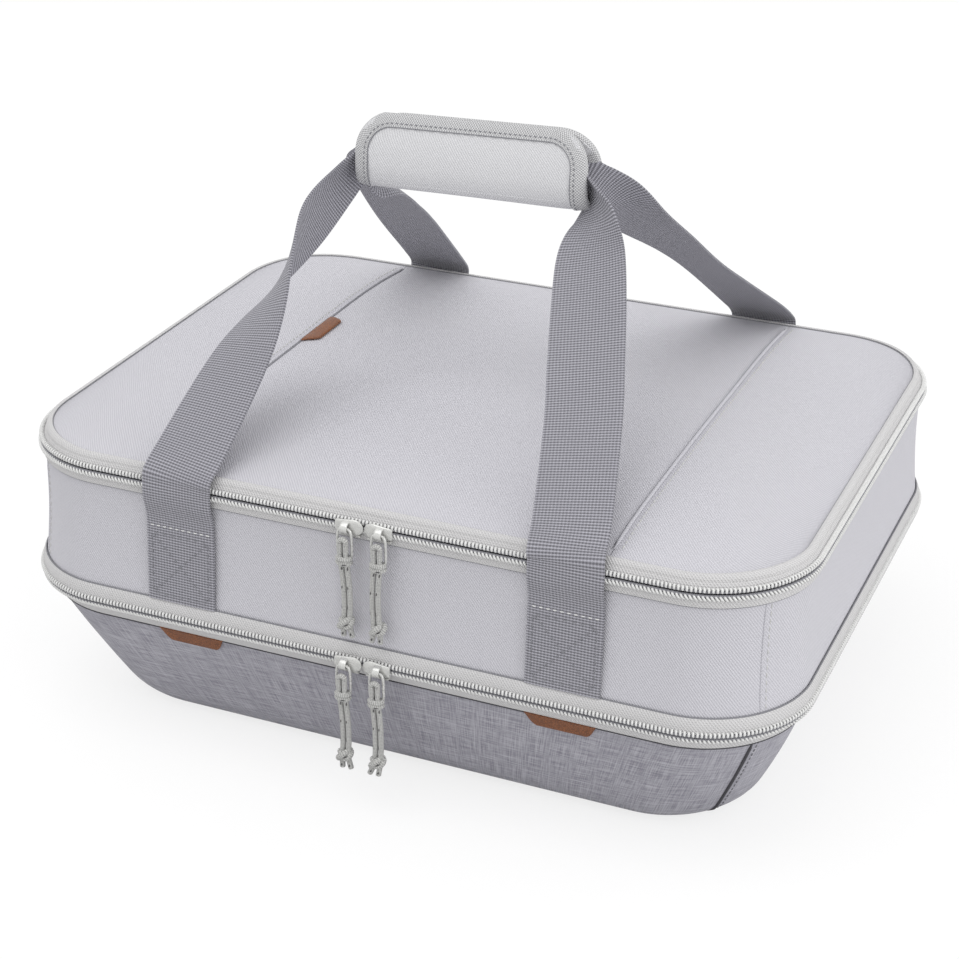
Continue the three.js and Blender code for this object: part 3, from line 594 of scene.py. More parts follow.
# %% The outline
# Straight runs and quarter turns at the top zip, in order from the middle of the rear.
KNOTS = np.cumsum([0, 153.6, 83.25, 201.2, 83.25, 307.2, 83.25, 201.2, 83.25, 153.6]) * MM
CENTRE_X = [0, -1, -1, -1, -1, 1, 1, 1, 1, 0]
CENTRE_Y = [1, 1, 1, -1, -1, -1, -1, 1, 1, 1]
TURN = np.radians([90, 90, 180, 180, 270, 270, 360, 360, 450, 450])
ROUND = np.arange(0, KNOTS[-1] - 1e-6, KNOTS[-1] / 400)
CORNER_SEAMS = KNOTS[[1, 4, 5, 8]] + 44 * MM * np.array([1, -1, 1, -1])


def side_of(s, z, out):
    """Corner centre plus the corner's radius and the distance out, along the outward turn."""
    s, z, out = np.broadcast_arrays(s, z, out)
    corner = np.interp(z, HEIGHTS, CORNER)
    turn = np.interp(s, KNOTS, TURN)
    length = np.interp(z, HEIGHTS, HALF_LENGTH)
    x = np.interp(s, KNOTS, CENTRE_X) * (length - corner) + (corner + out) * np.cos(turn)
    y = np.interp(s, KNOTS, CENTRE_Y) * (depth_at(z) - corner) + (corner + out) * np.sin(turn)
    return np.stack([x, y, z], -1)


def outward(s):
    """Level way out of the side."""
    turn = np.interp(s, KNOTS, TURN)
    return np.stack([np.cos(turn), np.sin(turn), np.zeros_like(turn)], -1)


def belt(profile, lift=None):
    """Closed profile of (distance out, height) points carried once round the outline."""
    profile = np.asarray(profile)
    points = side_of(ROUND[:, None], profile[None, :, 1], profile[None, :, 0])
    if lift is not None:
        points[..., 2] += lift(points)
    girth = run_of(np.concatenate([profile, profile[:1]]))
    return net(points, girth, np.append(ROUND, KNOTS[-1]), True, True)


def band(middle, thickness):
    """Closed profile round a line of (distance out, height) points: the line pushed both ways."""
    middle = np.asarray(middle)
    step = unit(np.gradient(middle, axis=0))
    half = np.stack([step[:, 1], -step[:, 0]], -1) * thickness / 2
    return np.concatenate([middle + half, (middle - half)[::-1]])


def through(stations, steps):
    """Smooth line through stations: between two of them it leaves and arrives along the line that joins
    their neighbours."""
    p = np.concatenate([2 * stations[:1] - stations[1:2], stations, 2 * stations[-1:] - stations[-2:-1]])
    t = np.linspace(0, 1, steps, endpoint=False)[None, :, None]
    a, b, c, d = (p[k : len(p) - 3 + k, None] for k in range(4))
    line = 0.5 * (2 * b + (c - a) * t + (2 * a - 5 * b + 4 * c - d) * t**2 + (3 * b - a - 3 * c + d) * t**3)
    return np.concatenate([line.reshape(-1, p.shape[-1]), stations[-1:]])


print("round the carrier:", round(KNOTS[-1], 3), "m")

# %% [markdown]
# ## Stitches and seam rolls
# Stitching could be painted on, but real thread catches light. A stitch is a small spindle between two
# needle holes, half sunk into the cloth, and a row of them is one net. A seam roll is the thin ridge where
# two panels are sewn and turned.


# %% Stitches
def stitches(path, up, length=2.6 * MM, gap=1.3 * MM, radius=0.32 * MM):
    """Spindles laid end to end along a path; each swells from its needle hole and dips into the next."""
    run = run_of(path)
    count = int((run[-1] - gap) // (length + gap))
    start = np.linspace(gap, run[-1] - length - gap, count)
    place = start[:, None] + length * np.array([0, 0.15, 0.5, 0.85, 1])
    up = np.broadcast_to(up, path.shape)
    centre = np.stack([np.interp(place, run, path[:, k]) for k in range(3)], -1)
    top = unit(np.stack([np.interp(place, run, up[:, k]) for k in range(3)], -1))
    ahead = unit(centre[:, -1:] - centre[:, :1])
    side = unit(np.cross(np.broadcast_to(ahead, top.shape), top))
    swell = radius * np.array([0.3, 0.9, 1, 0.9, 0.3])
    centre = centre + top * (radius * np.array([-0.5, 0.3, 0.5, 0.3, -0.5]))[:, None]
    turn = np.linspace(0, 2 * np.pi, 6, endpoint=False)[:, None]
    ring = np.cos(turn) * side[:, :, None] + np.sin(turn) * top[:, :, None]
    points = centre[:, :, None] + swell[:, None, None] * ring
    first, quads, weave = net(points[0], np.arange(7) * radius, np.arange(5) * length / 4, True, False, True)
    moved = quads[None] + len(first) * np.arange(count)[:, None, None]
    return points.reshape(-1, 3), moved.reshape(-1, 4), np.tile(weave, (count, 1, 1))


def seam_roll(path, up, radius):
    """Thin round ridge, sunk by half, that tapers at its ends."""
    ends = np.clip(np.minimum(np.arange(len(path)), np.arange(len(path))[::-1]) / 2, 0.3, 1)
    return tube(path, radius * ends, np.broadcast_to(up, path.shape), 8)


def corner_rows(make, z, bow, shift=0.0, **size):
    """One row up each corner of the carrier, made from its line on the cloth and its way out."""
    rows = [make(side_of(s + shift, z, bow), outward(np.full(len(z), s)), **size) for s in CORNER_SEAMS]
    return together(*rows)


print("stitches are ready")

# %% [markdown]
# ## Tub: heather cloth over foam
# The tub is a tapered bag shell sewn from wrapped panels, with rounded lower edges and a seam down each
# corner. A carried profile gives the wall; the bottom panel is a rounded slab. The wall swells a little
# between base and zip, as padded cloth does.

# %% Make the tub's cloth
CLOTH, FOOT, TUB_TOP = 1.2 * MM, 14 * MM, 71.2 * MM


def tub_bow(z):
    """How far the wall stands out: rounded in by 10 mm at its foot, swollen by 1.3 mm halfway up."""
    edge = np.clip(1 - z / FOOT, 0, 1)
    return -10 * MM * (1 - np.sqrt(1 - edge**2)) + 1.3 * MM * np.sin(np.pi * z / TUB_TOP)


height = np.concatenate([[0, 0], np.linspace(0, 1, 9) ** 1.6 * 14, np.linspace(17, 71.2, 14)]) * MM
swell = tub_bow(height)
swell[:2] = np.array([-20, -15]) * MM
wall_middle = np.stack([swell - CLOTH / 2, height + CLOTH / 2 * (height < 0.01 * FOOT)], -1)
piece("tub_cloth", belt(band(wall_middle, CLOTH)), heather, "tub", ["tub_wall"])


def half_at(x, length, depth, corner):
    """Half depth of a rounded rectangle at a place along it: full, then falling round the corners."""
    past = np.clip(abs(x) - (length - corner), 0, corner)
    return depth - corner + np.sqrt(corner**2 - past**2)


def round_slab(length, depth, corner, low, high, puff, rows=60, columns=41):
    """Slab over a rounded rectangle: lines across it reach to the edge, and it thins towards its rim."""
    x = length * np.sin(np.linspace(-1, 1, rows) * np.pi / 2)[:, None]
    t = np.sin(np.linspace(-1, 1, columns) * np.pi / 2)[None]
    y = t * half_at(x, length, depth, corner)
    rim = np.minimum(1 - abs(x) / length, 1 - abs(t)) + 0 * y
    thick = (high - low) - puff * np.exp(-rim / 0.02)
    middle = np.stack([x + 0 * y, y, np.full_like(y, (low + high) / 2)], -1)
    return quilt(middle, thick)


base = round_slab(161.5 * MM, 111 * MM, 36 * MM, 0.1 * MM, 1.3 * MM, 0.4 * MM)
piece("tub_bottom", base, heather, "tub", ["tub_base"])
z = np.linspace(3, 70, 24) * MM
bow = tub_bow(z) + 0.1 * MM
seams = corner_rows(seam_roll, z, bow, radius=0.9 * MM)
piece("tub_corner_seams", seams, dark_seam, "tub")
lap = corner_rows(stitches, z, bow, 3.5 * MM)
piece("tub_corner_stitches", lap, grey_thread, "tub")

# %% [markdown]
# ## Band: pale twill between the zips
# The band is four panels joined at the corners, slightly drawn in at its waist. Its corner seams are
# pressed flat and stitched, so they show as a fine ridge with a row of stitches beside it.

# %% Make the band
BAND_LOW, BAND_HIGH = 86 * MM, 146 * MM


def band_bow(z):
    """Drawn in by 1.1 mm halfway between the band's edges."""
    return -1.1 * MM * np.sin(np.pi * (z - BAND_LOW) / (BAND_HIGH - BAND_LOW))


height = np.linspace(BAND_LOW, BAND_HIGH, 22)
band_middle = np.stack([band_bow(height) - CLOTH / 2, height], -1)
piece("deck_cloth", belt(band(band_middle, CLOTH)), twill, "deck", ["deck_band"])
z = np.linspace(88, 144, 20) * MM
ridges = corner_rows(seam_roll, z, band_bow(z), radius=0.55 * MM)
piece("deck_corner_seams", ridges, twill, "deck")
rows = corner_rows(stitches, z, band_bow(z), 3 * MM, radius=0.25 * MM)
piece("deck_corner_stitches", rows, pale_thread, "deck")

# %% [markdown]
# ## Zip tapes
# Each zip half is a woven tape whose edge carries the coil. Three are flat with a turned edge; the one
# above the lower zip is wide and padded, so it swells like piping, and the lid's leans in to the rim. At the
# turned edges, where cloth meets tape, a thin line is painted shade: dark under the tub's tape as its
# painted shadow, grey on the deck.


# %% Make the tapes
def tape_line(low, high, swell, lean):
    """Line of a tape from its lower to its upper edge: bowed out by the swell, leaning in at the top."""
    t = np.linspace(0, 1, 13)
    bowed = 0.7 + swell * np.sin(np.pi * t) ** 0.7 - lean * t
    return np.stack([bowed * MM, (low + (high - low) * t) * MM], -1)


TAPE = 0.8 * MM
TAPES = (
    ("tub_zip_tape", "tub", 69.5, 77.7, 0.5, 0),
    ("deck_low_zip_tape", "deck", 79.3, 87.7, 1.1, 0),
    ("deck_top_zip_tape", "deck", 144.3, 150.7, 0.5, 0),
    ("lid_zip_tape", "lid", 152.3, 157.4, 0.2, 2.6),
)
for name, body, *line in TAPES:
    piece(f"{name}_cloth", belt(band(tape_line(*line), TAPE)), tape, body, [name])

# Painted shade: a thin tube at each turned edge, dark under the tub's tape as a painted shadow, grey on the
# deck.
EDGES = (("tub", 68.9, 1.0, dark_seam), ("deck", 88.0, 0.6, grey_thread), ("deck", 144.0, 0.5, grey_thread))
for number, (body, z, out, thread) in enumerate(EDGES):
    path = side_of(ROUND, z * MM, out * MM)
    line = tube(path, 0.4 * MM, UP, 6, True)
    piece(f"tape_edge_painted_shade_{number}", line, thread, body)

# %% [markdown]
# ## Zip coils
# A coil zip's teeth are one filament wound in loops and sewn along the tape. Modelling a tooth and
# repeating it would work, but the winding itself is easier: a point goes round a small ellipse while it
# moves on along the edge, and the loops lean a little. A real core cord closes each row on its inner side;
# its grey is painted shade for the dark gaps between the teeth.

# %% Wind the coils
COIL_PITCH, FILAMENT = 1.9 * MM, 0.62 * MM
COIL_ROW, CORE_ROW, COIL_LEAN = 1.9 * MM, 1.0 * MM, 0.2


def coil(z, out, lean):
    """Filament round a 1.8 by 1.6 mm ellipse: the turn sets height and distance out, and the place along
    the edge moves on by a pitch in each turn, pushed by the lean as the filament rises."""
    first, last = KNOTS[1], KNOTS[-2]
    count = int((last - first) / COIL_PITCH)
    turn = np.linspace(0, 2 * np.pi * count, 9 * count + 1)
    s = first + (last - first) * turn / turn[-1] + lean * COIL_PITCH * np.cos(turn)
    path = side_of(s, z + 0.9 * MM * np.cos(turn), out + 0.8 * MM * np.sin(turn))
    ahead = outward(s) @ np.array([[0, 1, 0], [-1, 0, 0], [0, 0, 1.0]])
    return tube(path, FILAMENT, ahead, 6)


COILS = (
    ("tub_zip_coil", "tub", LOW_ZIP, -1, 2.3 * MM),
    ("deck_low_zip_coil", "deck", LOW_ZIP, 1, 2.3 * MM),
    ("deck_top_zip_coil", "deck", TOP_ZIP, -1, 2.3 * MM),
    ("lid_zip_coil", "lid", TOP_ZIP, 1, 1.8 * MM),
)
edge = np.linspace(KNOTS[1], KNOTS[-2], 300)
for name, body, z, side, out in COILS:
    winding = coil(z + side * COIL_ROW, out, side * COIL_LEAN)
    piece(f"{name}_winding", winding, coil_gloss, body, [name], 80)
    # Real core cord, coloured grey as painted shade between the teeth.
    core_painted_shade = tube(side_of(edge, z + side * CORE_ROW, out - 0.4 * MM), 0.85 * MM, UP, 8)
    piece(f"{name}_core", core_painted_shade, grey_thread, body)

# %% [markdown]
# ## Rear hinges
# At the rear corners the zips stop, and a strip of tape joins the two halves and acts as the hinge. Each
# strip is made in its closed shape and belongs to neither body.


# %% Make the hinge strips
def hinge_strip(z):
    """Strip across the rear, swollen a little where it covers the closed gap."""
    x = np.linspace(-150, 150, 40)[:, None] * MM
    height = np.linspace(z - 6.4 * MM, z + 4.5 * MM, 15)[None]
    out = (1.9 + 0.5 * np.sin(np.pi * np.linspace(0, 1, 15)))[None] * MM
    middle = np.stack(np.broadcast_arrays(x, depth_at(height) + out, height), -1)
    return quilt(middle, TAPE)


HINGES = (("deck_hinge_gusset", "tub", "deck", LOW_ZIP), ("lid_hinge_gusset", "deck", "lid", TOP_ZIP))
for name, lower, upper, z in HINGES:
    strip = piece(f"{name}_strip", hinge_strip(z), tape, None, [name])
    y = depth_at(z) + 3.9 * MM
    z - 2 * MM
    z + 2 * MM
    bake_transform(strip)

# %% [markdown]
# ## Lid: three panels under a bound rim
# The lid is gently crowned. Two seams run from front to back: the left one is lapped and holds a leather
# tab, the right one is turned into a ridge. Each panel is a net over the lid's plan, its height given by
# the crown, with a soft unevenness from the padding below and a dip beside each seam.

# %% Make the lid panels
RIM_Z = 158 * MM
LID_LENGTH, LID_DEPTH, LID_CORNER, SEAM = 203.6 * MM, 150.6 * MM, 50 * MM, 120.6 * MM


def crown(x, y):
    """7 mm in the middle, falling as the fourth power of the distance to the rim."""
    rise = (1 - np.clip(abs(x) / LID_LENGTH, 0, 1) ** 4) * (1 - np.clip(abs(y) / LID_DEPTH, 0, 1) ** 4)
    return 7 * MM * rise


def lid_height(x, y):
    """Crown, plus slow swells of the padding, less a groove at each seam."""
    swell = 0.35 * MM * np.sin(x * 31 + y * 17) * np.sin(y * 37 - x * 9 + 1)
    groove = np.exp(-(((x - SEAM) / (3 * MM)) ** 2)) + np.exp(-(((x + SEAM) / (3 * MM)) ** 2))
    inside = np.clip(crown(x, y) / (2 * MM), 0, 1)
    return RIM_Z + crown(x, y) + (swell - 0.7 * MM * groove) * inside


def lid_panel(x0, x1, rows):
    """Net between two lines across the lid: each line ends on the rounded outline."""
    x = (x0 + (x1 - x0) * (0.5 - 0.5 * np.cos(np.linspace(0, np.pi, rows))))[:, None]
    y = np.linspace(-1, 1, 121)[None] * half_at(x, LID_LENGTH, LID_DEPTH, LID_CORNER)
    x = x + 0 * y
    return quilt(np.stack([x, y, lid_height(x, y) - CLOTH / 2], -1), CLOTH)


PANEL_GAP = 0.3 * MM
PANELS = (
    ("left", -LID_LENGTH, -SEAM - PANEL_GAP),
    ("centre", -SEAM, SEAM),
    ("right", SEAM + PANEL_GAP, LID_LENGTH),
)
for word, x0, x1 in PANELS:
    shape = lid_panel(x0, x1, 81)
    piece(f"lid_{word}_cloth", shape, twill, "lid", [f"lid_{word}_panel"])

SEAM_LINE = np.linspace(-143, 143, 90) * MM


def on_lid(x, lift):
    """Line across the lid at one place along it, lifted off the cloth."""
    x = np.full_like(SEAM_LINE, x)
    return np.stack([x, SEAM_LINE, lid_height(x, SEAM_LINE) + lift], -1)


ridge = seam_roll(on_lid(SEAM + 0.4 * MM, 0.5 * MM), UP, 1.0 * MM)
lapped = seam_roll(on_lid(-SEAM - 0.6 * MM, 0.4 * MM), UP, 0.8 * MM)
piece("lid_seam_ridges", together(ridge, lapped), twill, "lid")
gap = seam_roll(on_lid(-SEAM + 0.7 * MM, 0.15 * MM), UP, 0.45 * MM)
gap_right = seam_roll(on_lid(SEAM - 0.8 * MM, 0.1 * MM), UP, 0.35 * MM)
piece("lid_seam_shade", together(gap, gap_right), grey_thread, "lid")
rows = [stitches(on_lid(x * MM, 0.05 * MM), UP) for x in (-124.6, 124.6)]
piece("lid_seam_stitches", together(*rows), pale_thread, "lid")

# %% [markdown]
# ## Rim binding
# A folded tape binds the lid's edge: it covers the top of the zip tape, rolls over the rim and lies on the
# panels. Its profile is carried round the outline, then its inner part is lifted by the crown so that it
# lies on the lid at the corners too. A thin seam shows along its inner edge.

# %% Make the rim binding
RIM = np.array([[-1.1, -1.9], [-1.2, -1.0], [-1.7, -0.1], [-2.4, 0.5], [-3.2, 0.7], [-4.0, 0.4]])
rim_line = through(RIM * MM, 3) + np.array([0, RIM_Z])


def on_crown(points):
    """The crown's rise under each point."""
    return crown(points[..., 0], points[..., 1])


piece("lid_rim_cloth", belt(band(rim_line, TAPE), on_crown), tape, "lid", ["lid_rim_binding"])
path = side_of(ROUND, RIM_Z, -4.4 * MM)
path[:, 2] = lid_height(path[:, 0], path[:, 1]) + 0.1 * MM
piece("lid_rim_seam", tube(path, 0.3 * MM, UP, 6, True), grey_thread, "lid")

# %% [markdown]
# ## Padded liners
# Inside, each compartment is foam under a satin film. The foam and its film are one padded piece: a wall
# belt whose top edge is rolled over, and a floor pad. The film's small creases are in its finish.


# %% Make the liners
PAD_INSET = 7 * MM


def padded_wall(low, high, name, body, nodes):
    """Belt of foam and film: flat outside, softly swollen inside, with a rounded top edge."""
    t = np.linspace(0, 1, 18)
    swell = 0.6 * np.sin(np.pi * t) * np.sin(9 * t) ** 2
    inside = np.stack([-7.4 - swell, low + (high - low) * t], -1) * MM
    top = np.array([[-6.9, high + 0.5], [-4.5, high + 0.9], [-2.2, high + 0.4]]) * MM
    outside = np.stack([np.full(6, -1.7 * MM), np.linspace(high, low, 6) * MM], -1)
    wall = piece(name, belt(np.concatenate([inside, top, outside])), liner, body, nodes)


def padded_floor(low, high, z, name, body, nodes):
    """Pad between two heights over the outline at a third, inset evenly."""
    outline = (np.interp(z * MM, HEIGHTS, size) - PAD_INSET for size in (HALF_LENGTH, HALF_DEPTH, CORNER))
    slab = round_slab(*outline, low * MM, high * MM, 2.5 * MM)
    pad = piece(name, slab, liner, body, nodes)


padded_wall(6.9, 70.6, "tub_wall_pad", "tub", ["tub_foam_wall", "tub_lining"])
padded_floor(1.5, 7.4, 2, "tub_floor_pad", "tub", ["tub_foam_base"])
padded_wall(86.2, 145.4, "deck_wall_pad", "deck", ["deck_foam_wall", "deck_lining"])
padded_floor(79.4, 86.6, 84, "deck_floor_pad", "deck", ["deck_floor_foam", "deck_under_lining"])
padded_floor(152.4, 157.2, TOP_ZIP / MM, "lid_pad", "lid", ["lid_foam", "lid_lining"])

# %% [markdown]
# ## Leather tabs
# Three small leather tabs are caught in seams: two hang under the tub's zip tape, one lies at the lid's
# left seam. Each is a trapezoid with rounded lower corners, thick in the middle and pressed thin at its
# edges, like a stamped piece of hide.


# %% Make the tabs
def tab_plan(rows=31, columns=15):
    """Trapezoid as a net: the half width shrinks from 18.5 to 12.7 mm, faster near the foot."""
    t = np.linspace(0, 1, columns)[None]
    half = (18.5 - 4.2 * t - 1.6 * t**8) * MM
    across = np.sin(np.linspace(-1, 1, rows) * np.pi / 2)[:, None] * half
    down = t * 9 * MM + 0 * across
    rim = np.minimum(1 - abs(np.sin(np.linspace(-1, 1, rows) * np.pi / 2))[:, None], 1 - t)
    return across, down, (1.4 - 0.8 * np.exp(-rim / 0.06)) * MM


across, down, thick = tab_plan()
for word, x in (("left", -101 * MM), ("right", 101 * MM)):
    z = 69.4 * MM - down * 0.922
    shape = quilt(np.stack([x + across, -depth_at(z) - tub_bow(z) - 0.9 * MM, z], -1), thick)
    piece(f"tub_tab_{word}_hide", shape, leather, "tub", [f"tub_tab_{word}"], 70)

x, y_tab = -SEAM + 1.2 * MM + down, 26 * MM - across
shape = quilt(np.stack([x, y_tab, lid_height(x, y_tab) + 1.0 * MM], -1), thick)
piece("lid_tab_hide", shape, leather, "lid", ["lid_tab"], 70)

# %% [markdown]
# ## Straps
# Each strap is one length of 38 mm webbing, sewn flat up the wall, standing free above the lid and
# gathered into the grip. Stations give the middle of the strap, its width and how far it is turned about
# its own length; a smooth line runs through them. The left end of the front strap turns the other way.


# %% Make the straps
# The first nine stations of each end keep the full width and one turn.
STRAP_X, WEB, LEVEL = 103, 38, 9
GRIP_ENDS, SAG = {-1: 72.6, 1: 53.4}, {-1: 3, 1: 0}
FLAT = [0] * LEVEL
WIDTHS = [WEB, WEB, WEB, 36, 30, 20, 17, 16]
NARROW = [WEB, WEB, 37, 34, 26, 19, 17, 16]
FRONT_LEFT = (88.5, 34, 252), [180] * LEVEL + [168, 148, 118, 92, 85, 88, 90, 90], NARROW
FRONT_RIGHT = (63.5, 27, 256), FLAT + [0, 0, 4, 12, 40, 75, 90, 90], WIDTHS
REAR_LEFT = (80.5, 28, 258), FLAT + [0, 2, 8, 18, 45, 78, 90, 90], WIDTHS
REAR_RIGHT = (66, 27, 258), FLAT + [-6, -6, 2, 14, 42, 76, 90, 90], WIDTHS


def strap_end(side, face, neck, turns, widths):
    """Stations from the sewn end to the grip: middle, width, turn in degrees and cupping, in millimetres."""
    sewn = ((88, 1.1), (100, 1.1), (115, 1.1), (129, 1.2), (136, 1.9), (144.5, 4.4))
    wall = [(STRAP_X, depth_at(z * MM) / MM + out, z) for z, out in sewn]
    free = [(STRAP_X, 158.2, 153.5), (102.3, 156.2, 160.5), (99.8, 142, 172)]
    slope = [np.array([98, 128, 182.5]) * (1 - t) + np.array(neck) * t for t in (0.25, 0.5, 0.75, 1)]
    end = GRIP_ENDS[side]
    near = (end + neck[0]) / 2 + 2
    grip = [(near, 13, 269.5), (end + 1.5, 5.5, 280), (end - 8, 4.6, 284.5), (end - 30, 4.6, 284.5)]
    middle = np.array(wall + free + slope + grip) * np.array([side, face, 1])
    middle[-4:, 2] -= SAG[side]
    width = np.array([WEB] * LEVEL + widths)
    cup = np.array(FLAT + [0.3, 0.6, 1.0, 2.2, 4.0, 2.5, 1, 0])
    return np.concatenate([middle, width[:, None], np.array(turns)[:, None], cup[:, None]], 1)


def strap(left, right, face):
    """Band of webbing: across it, points lie on a shallow arc as deep as the cupping; the width way is level
    at the wall and turns about the strap's length by the stations' angle."""
    ends = strap_end(-1, face, *left), strap_end(1, face, *right)[::-1]
    stations = np.concatenate(ends) * np.array([MM, MM, MM, MM, np.pi / 180, MM])
    line = through(stations, 10)
    path, width, turn, cup = line[:, :3], line[:, 3:4], line[:, 4:5], line[:, 5:6]
    ahead = unit(np.gradient(path, axis=0))
    level = np.where(path[:, :1] < -10 * MM, -1.0, 1.0) * np.array([[1.0, 0, 0]])
    outer = np.array([[0, face * 0.535, 0.845]])
    way = np.cos(turn) * level + np.sin(turn) * outer
    way = unit(way - ahead * np.sum(way * ahead, -1, keepdims=True))
    normal = np.cross(ahead, way)
    t = np.linspace(-1, 1, 21)[None, :, None]
    across, arc = width[:, None] / 2 * t, cup[:, None] * (t**2 - 0.4)
    middle = path[:, None] + way[:, None] * across + normal[:, None] * arc
    thick = (1.6 - 0.5 * np.abs(np.linspace(-1, 1, 21)) ** 8) * MM
    return quilt(middle, np.broadcast_to(thick, middle.shape[:2]))


front = strap(FRONT_LEFT, FRONT_RIGHT, -1)
rear = strap(REAR_LEFT, REAR_RIGHT, 1)
for word, shape, face in (("front", front, -1), ("rear", rear, 1)):
    made = piece(f"{word}_strap_webbing", shape, webbing, None, [f"{word}_strap"], 60)
    y = face * 156.6 * MM
    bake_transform(made)

# %% [markdown]
# ## Strap stitching
# The sewn part is held by a white dashed line across its top and by a box with a cross in grey thread.
# The rows sit on the webbing's outer face, so they follow the wall's slope.


# %% Stitch the straps
def on_strap(x0, z0, x1, z1, face):
    """Straight line on the sewn part's outer face."""
    t = np.linspace(0, 1, 12)
    z = (z0 + (z1 - z0) * t) * MM
    return np.stack([(x0 + (x1 - x0) * t) * MM, face * (depth_at(z) + 1.9 * MM), z], -1)


DASHES = ((-18, 129, 18, 129),)
SIDE, FOOT_Z, HEAD_Z = 16, 92, 125
BOX = (
    (-SIDE, FOOT_Z, -SIDE, HEAD_Z),
    (SIDE, FOOT_Z, SIDE, HEAD_Z),
    (-SIDE, FOOT_Z, SIDE, FOOT_Z),
    (-SIDE, HEAD_Z, SIDE, HEAD_Z),
    (-SIDE, FOOT_Z, SIDE, HEAD_Z),
    (SIDE, FOOT_Z, -SIDE, HEAD_Z),
)


def sewn_rows(lines, face, **size):
    """Rows of stitches on both ends of a strap, along lines given from the strap's middle."""
    up = np.array([0, face, 0.0])
    paths = [on_strap(x + a, b, x + c, d, face) for x in (-STRAP_X, STRAP_X) for a, b, c, d in lines]
    return together(*[stitches(path, up, **size) for path in paths])


for face, word in ((-1, "front"), (1, "rear")):
    white = sewn_rows(DASHES, face, length=2.1 * MM, gap=1.2 * MM, radius=0.33 * MM)
    piece(f"{word}_strap_dashes", white, white_thread, "deck")
    grey = sewn_rows(BOX, face, radius=0.28 * MM)
    piece(f"{word}_strap_boxes", grey, grey_thread, "deck")

# %% [markdown]
# ## Grip: a padded wrap
# The grip is cut flat, padded, bound on three sides and folded along its lower edge round the straps. So
# the shape is worked out flat too: a place along the grip and a height up the cloth from the fold. One
# function lays any flat place on the folded line, and pad, binding and stitches all use it.

# %% Make the grip
GRIP_X, GRIP_Z, GRIP_HALF, GRIP_CORNER = -9.6 * MM, 289.5 * MM, 63 * MM, 20 * MM
TRIM = {-1: 0.0, 1: 4.5 * MM}
HANG = {-1: 8 * MM, 1: 20 * MM}
FOLD_GAP, STITCH_IN, SEAM_IN = 2 * MM, 5.2 * MM, 7.1 * MM
FOLD = [[0.9, -18.6], [4.5, -18.4], [8.6, -15.2], [10.3, -9.5], [10.2, -3], [9.0, 5], [6.9, 13], [4.6, 20.2]]
fold_line = through(np.array(FOLD) * MM, 8)
fold_run = run_of(fold_line)
CLOTH_HEIGHT = fold_run[-1]
fold_out = unit(np.gradient(fold_line, axis=0)) @ np.array([[0, -1.0], [1.0, 0]])


def folded(x, h, lift, face):
    """Flat place (along, up from the fold) laid on the folded line and lifted off along its normal. Above
    the fold the left end hangs 4.4 mm lower than the right one."""
    y = np.interp(h, fold_run, fold_line[:, 0]) + lift * np.interp(h, fold_run, fold_out[:, 0])
    z = np.interp(h, fold_run, fold_line[:, 1]) + lift * np.interp(h, fold_run, fold_out[:, 1])
    droop = (2.2 * x / GRIP_HALF - 1.8) * MM * np.clip(h / HANG[face], 0, 1)
    return np.stack(np.broadcast_arrays(GRIP_X + x, face * y, GRIP_Z + z + droop), -1)


def grip_pad(face):
    """Pad of 5.6 mm that thins to 2.6 mm at its bound edges, with soft puckers along them."""
    top = CLOTH_HEIGHT - TRIM[face]
    h = np.linspace(FOLD_GAP, top, 45)[None]
    b = np.sin(np.linspace(-1, 1, 111) * np.pi / 2)[:, None]
    x = b * half_at(h, top, GRIP_HALF, GRIP_CORNER)
    edge = np.minimum((GRIP_HALF - abs(x)) / (12 * MM), np.minimum((top - h) / (12 * MM), 1))
    full = 1 - (1 - np.clip(edge, 0, 1)) ** 2.5
    pucker = 0.2 * MM * np.sin(x * 900 + h * 300) * np.exp(-(((edge - 0.6) / 0.15) ** 2))
    lift = (2.6 * MM + 3.0 * MM * full) / 2 + pucker
    outer, inner = folded(x, h, lift, face), folded(x, h, -lift + 2 * pucker, face)
    points = np.concatenate([outer, inner[:, ::-1]], 1)
    run = np.concatenate([h[0], h[0][::-1], h[0][:1]])
    return net(points, run, b[:, 0] * GRIP_HALF, True, False, True)


def grip_border(face, count=150):
    """Flat border from the fold up one end, round the corners, along the top and down the other end, with
    its way in. Evenly spaced distances along it are looked up on the border's corners."""
    arc = np.linspace(0, np.pi / 2, 12)
    top = CLOTH_HEIGHT - TRIM[face] - GRIP_CORNER
    cx, cz = GRIP_HALF - GRIP_CORNER + GRIP_CORNER * np.cos(arc), top + GRIP_CORNER * np.sin(arc)
    x = np.concatenate([[GRIP_HALF], cx, -cx[::-1], [-GRIP_HALF]])
    h = np.concatenate([[2 * FOLD_GAP], cz, cz[::-1], [2 * FOLD_GAP]])
    nx = np.concatenate([[1.0], np.cos(arc), -np.cos(arc)[::-1], [-1.0]])
    nh = np.concatenate([[0.0], np.sin(arc), np.sin(arc)[::-1], [0.0]])
    run = run_of(np.stack([x, h], -1))
    even = np.linspace(0, run[-1], count)
    return [np.interp(even, run, values)[:, None] for values in (x, h, nx, nh)]


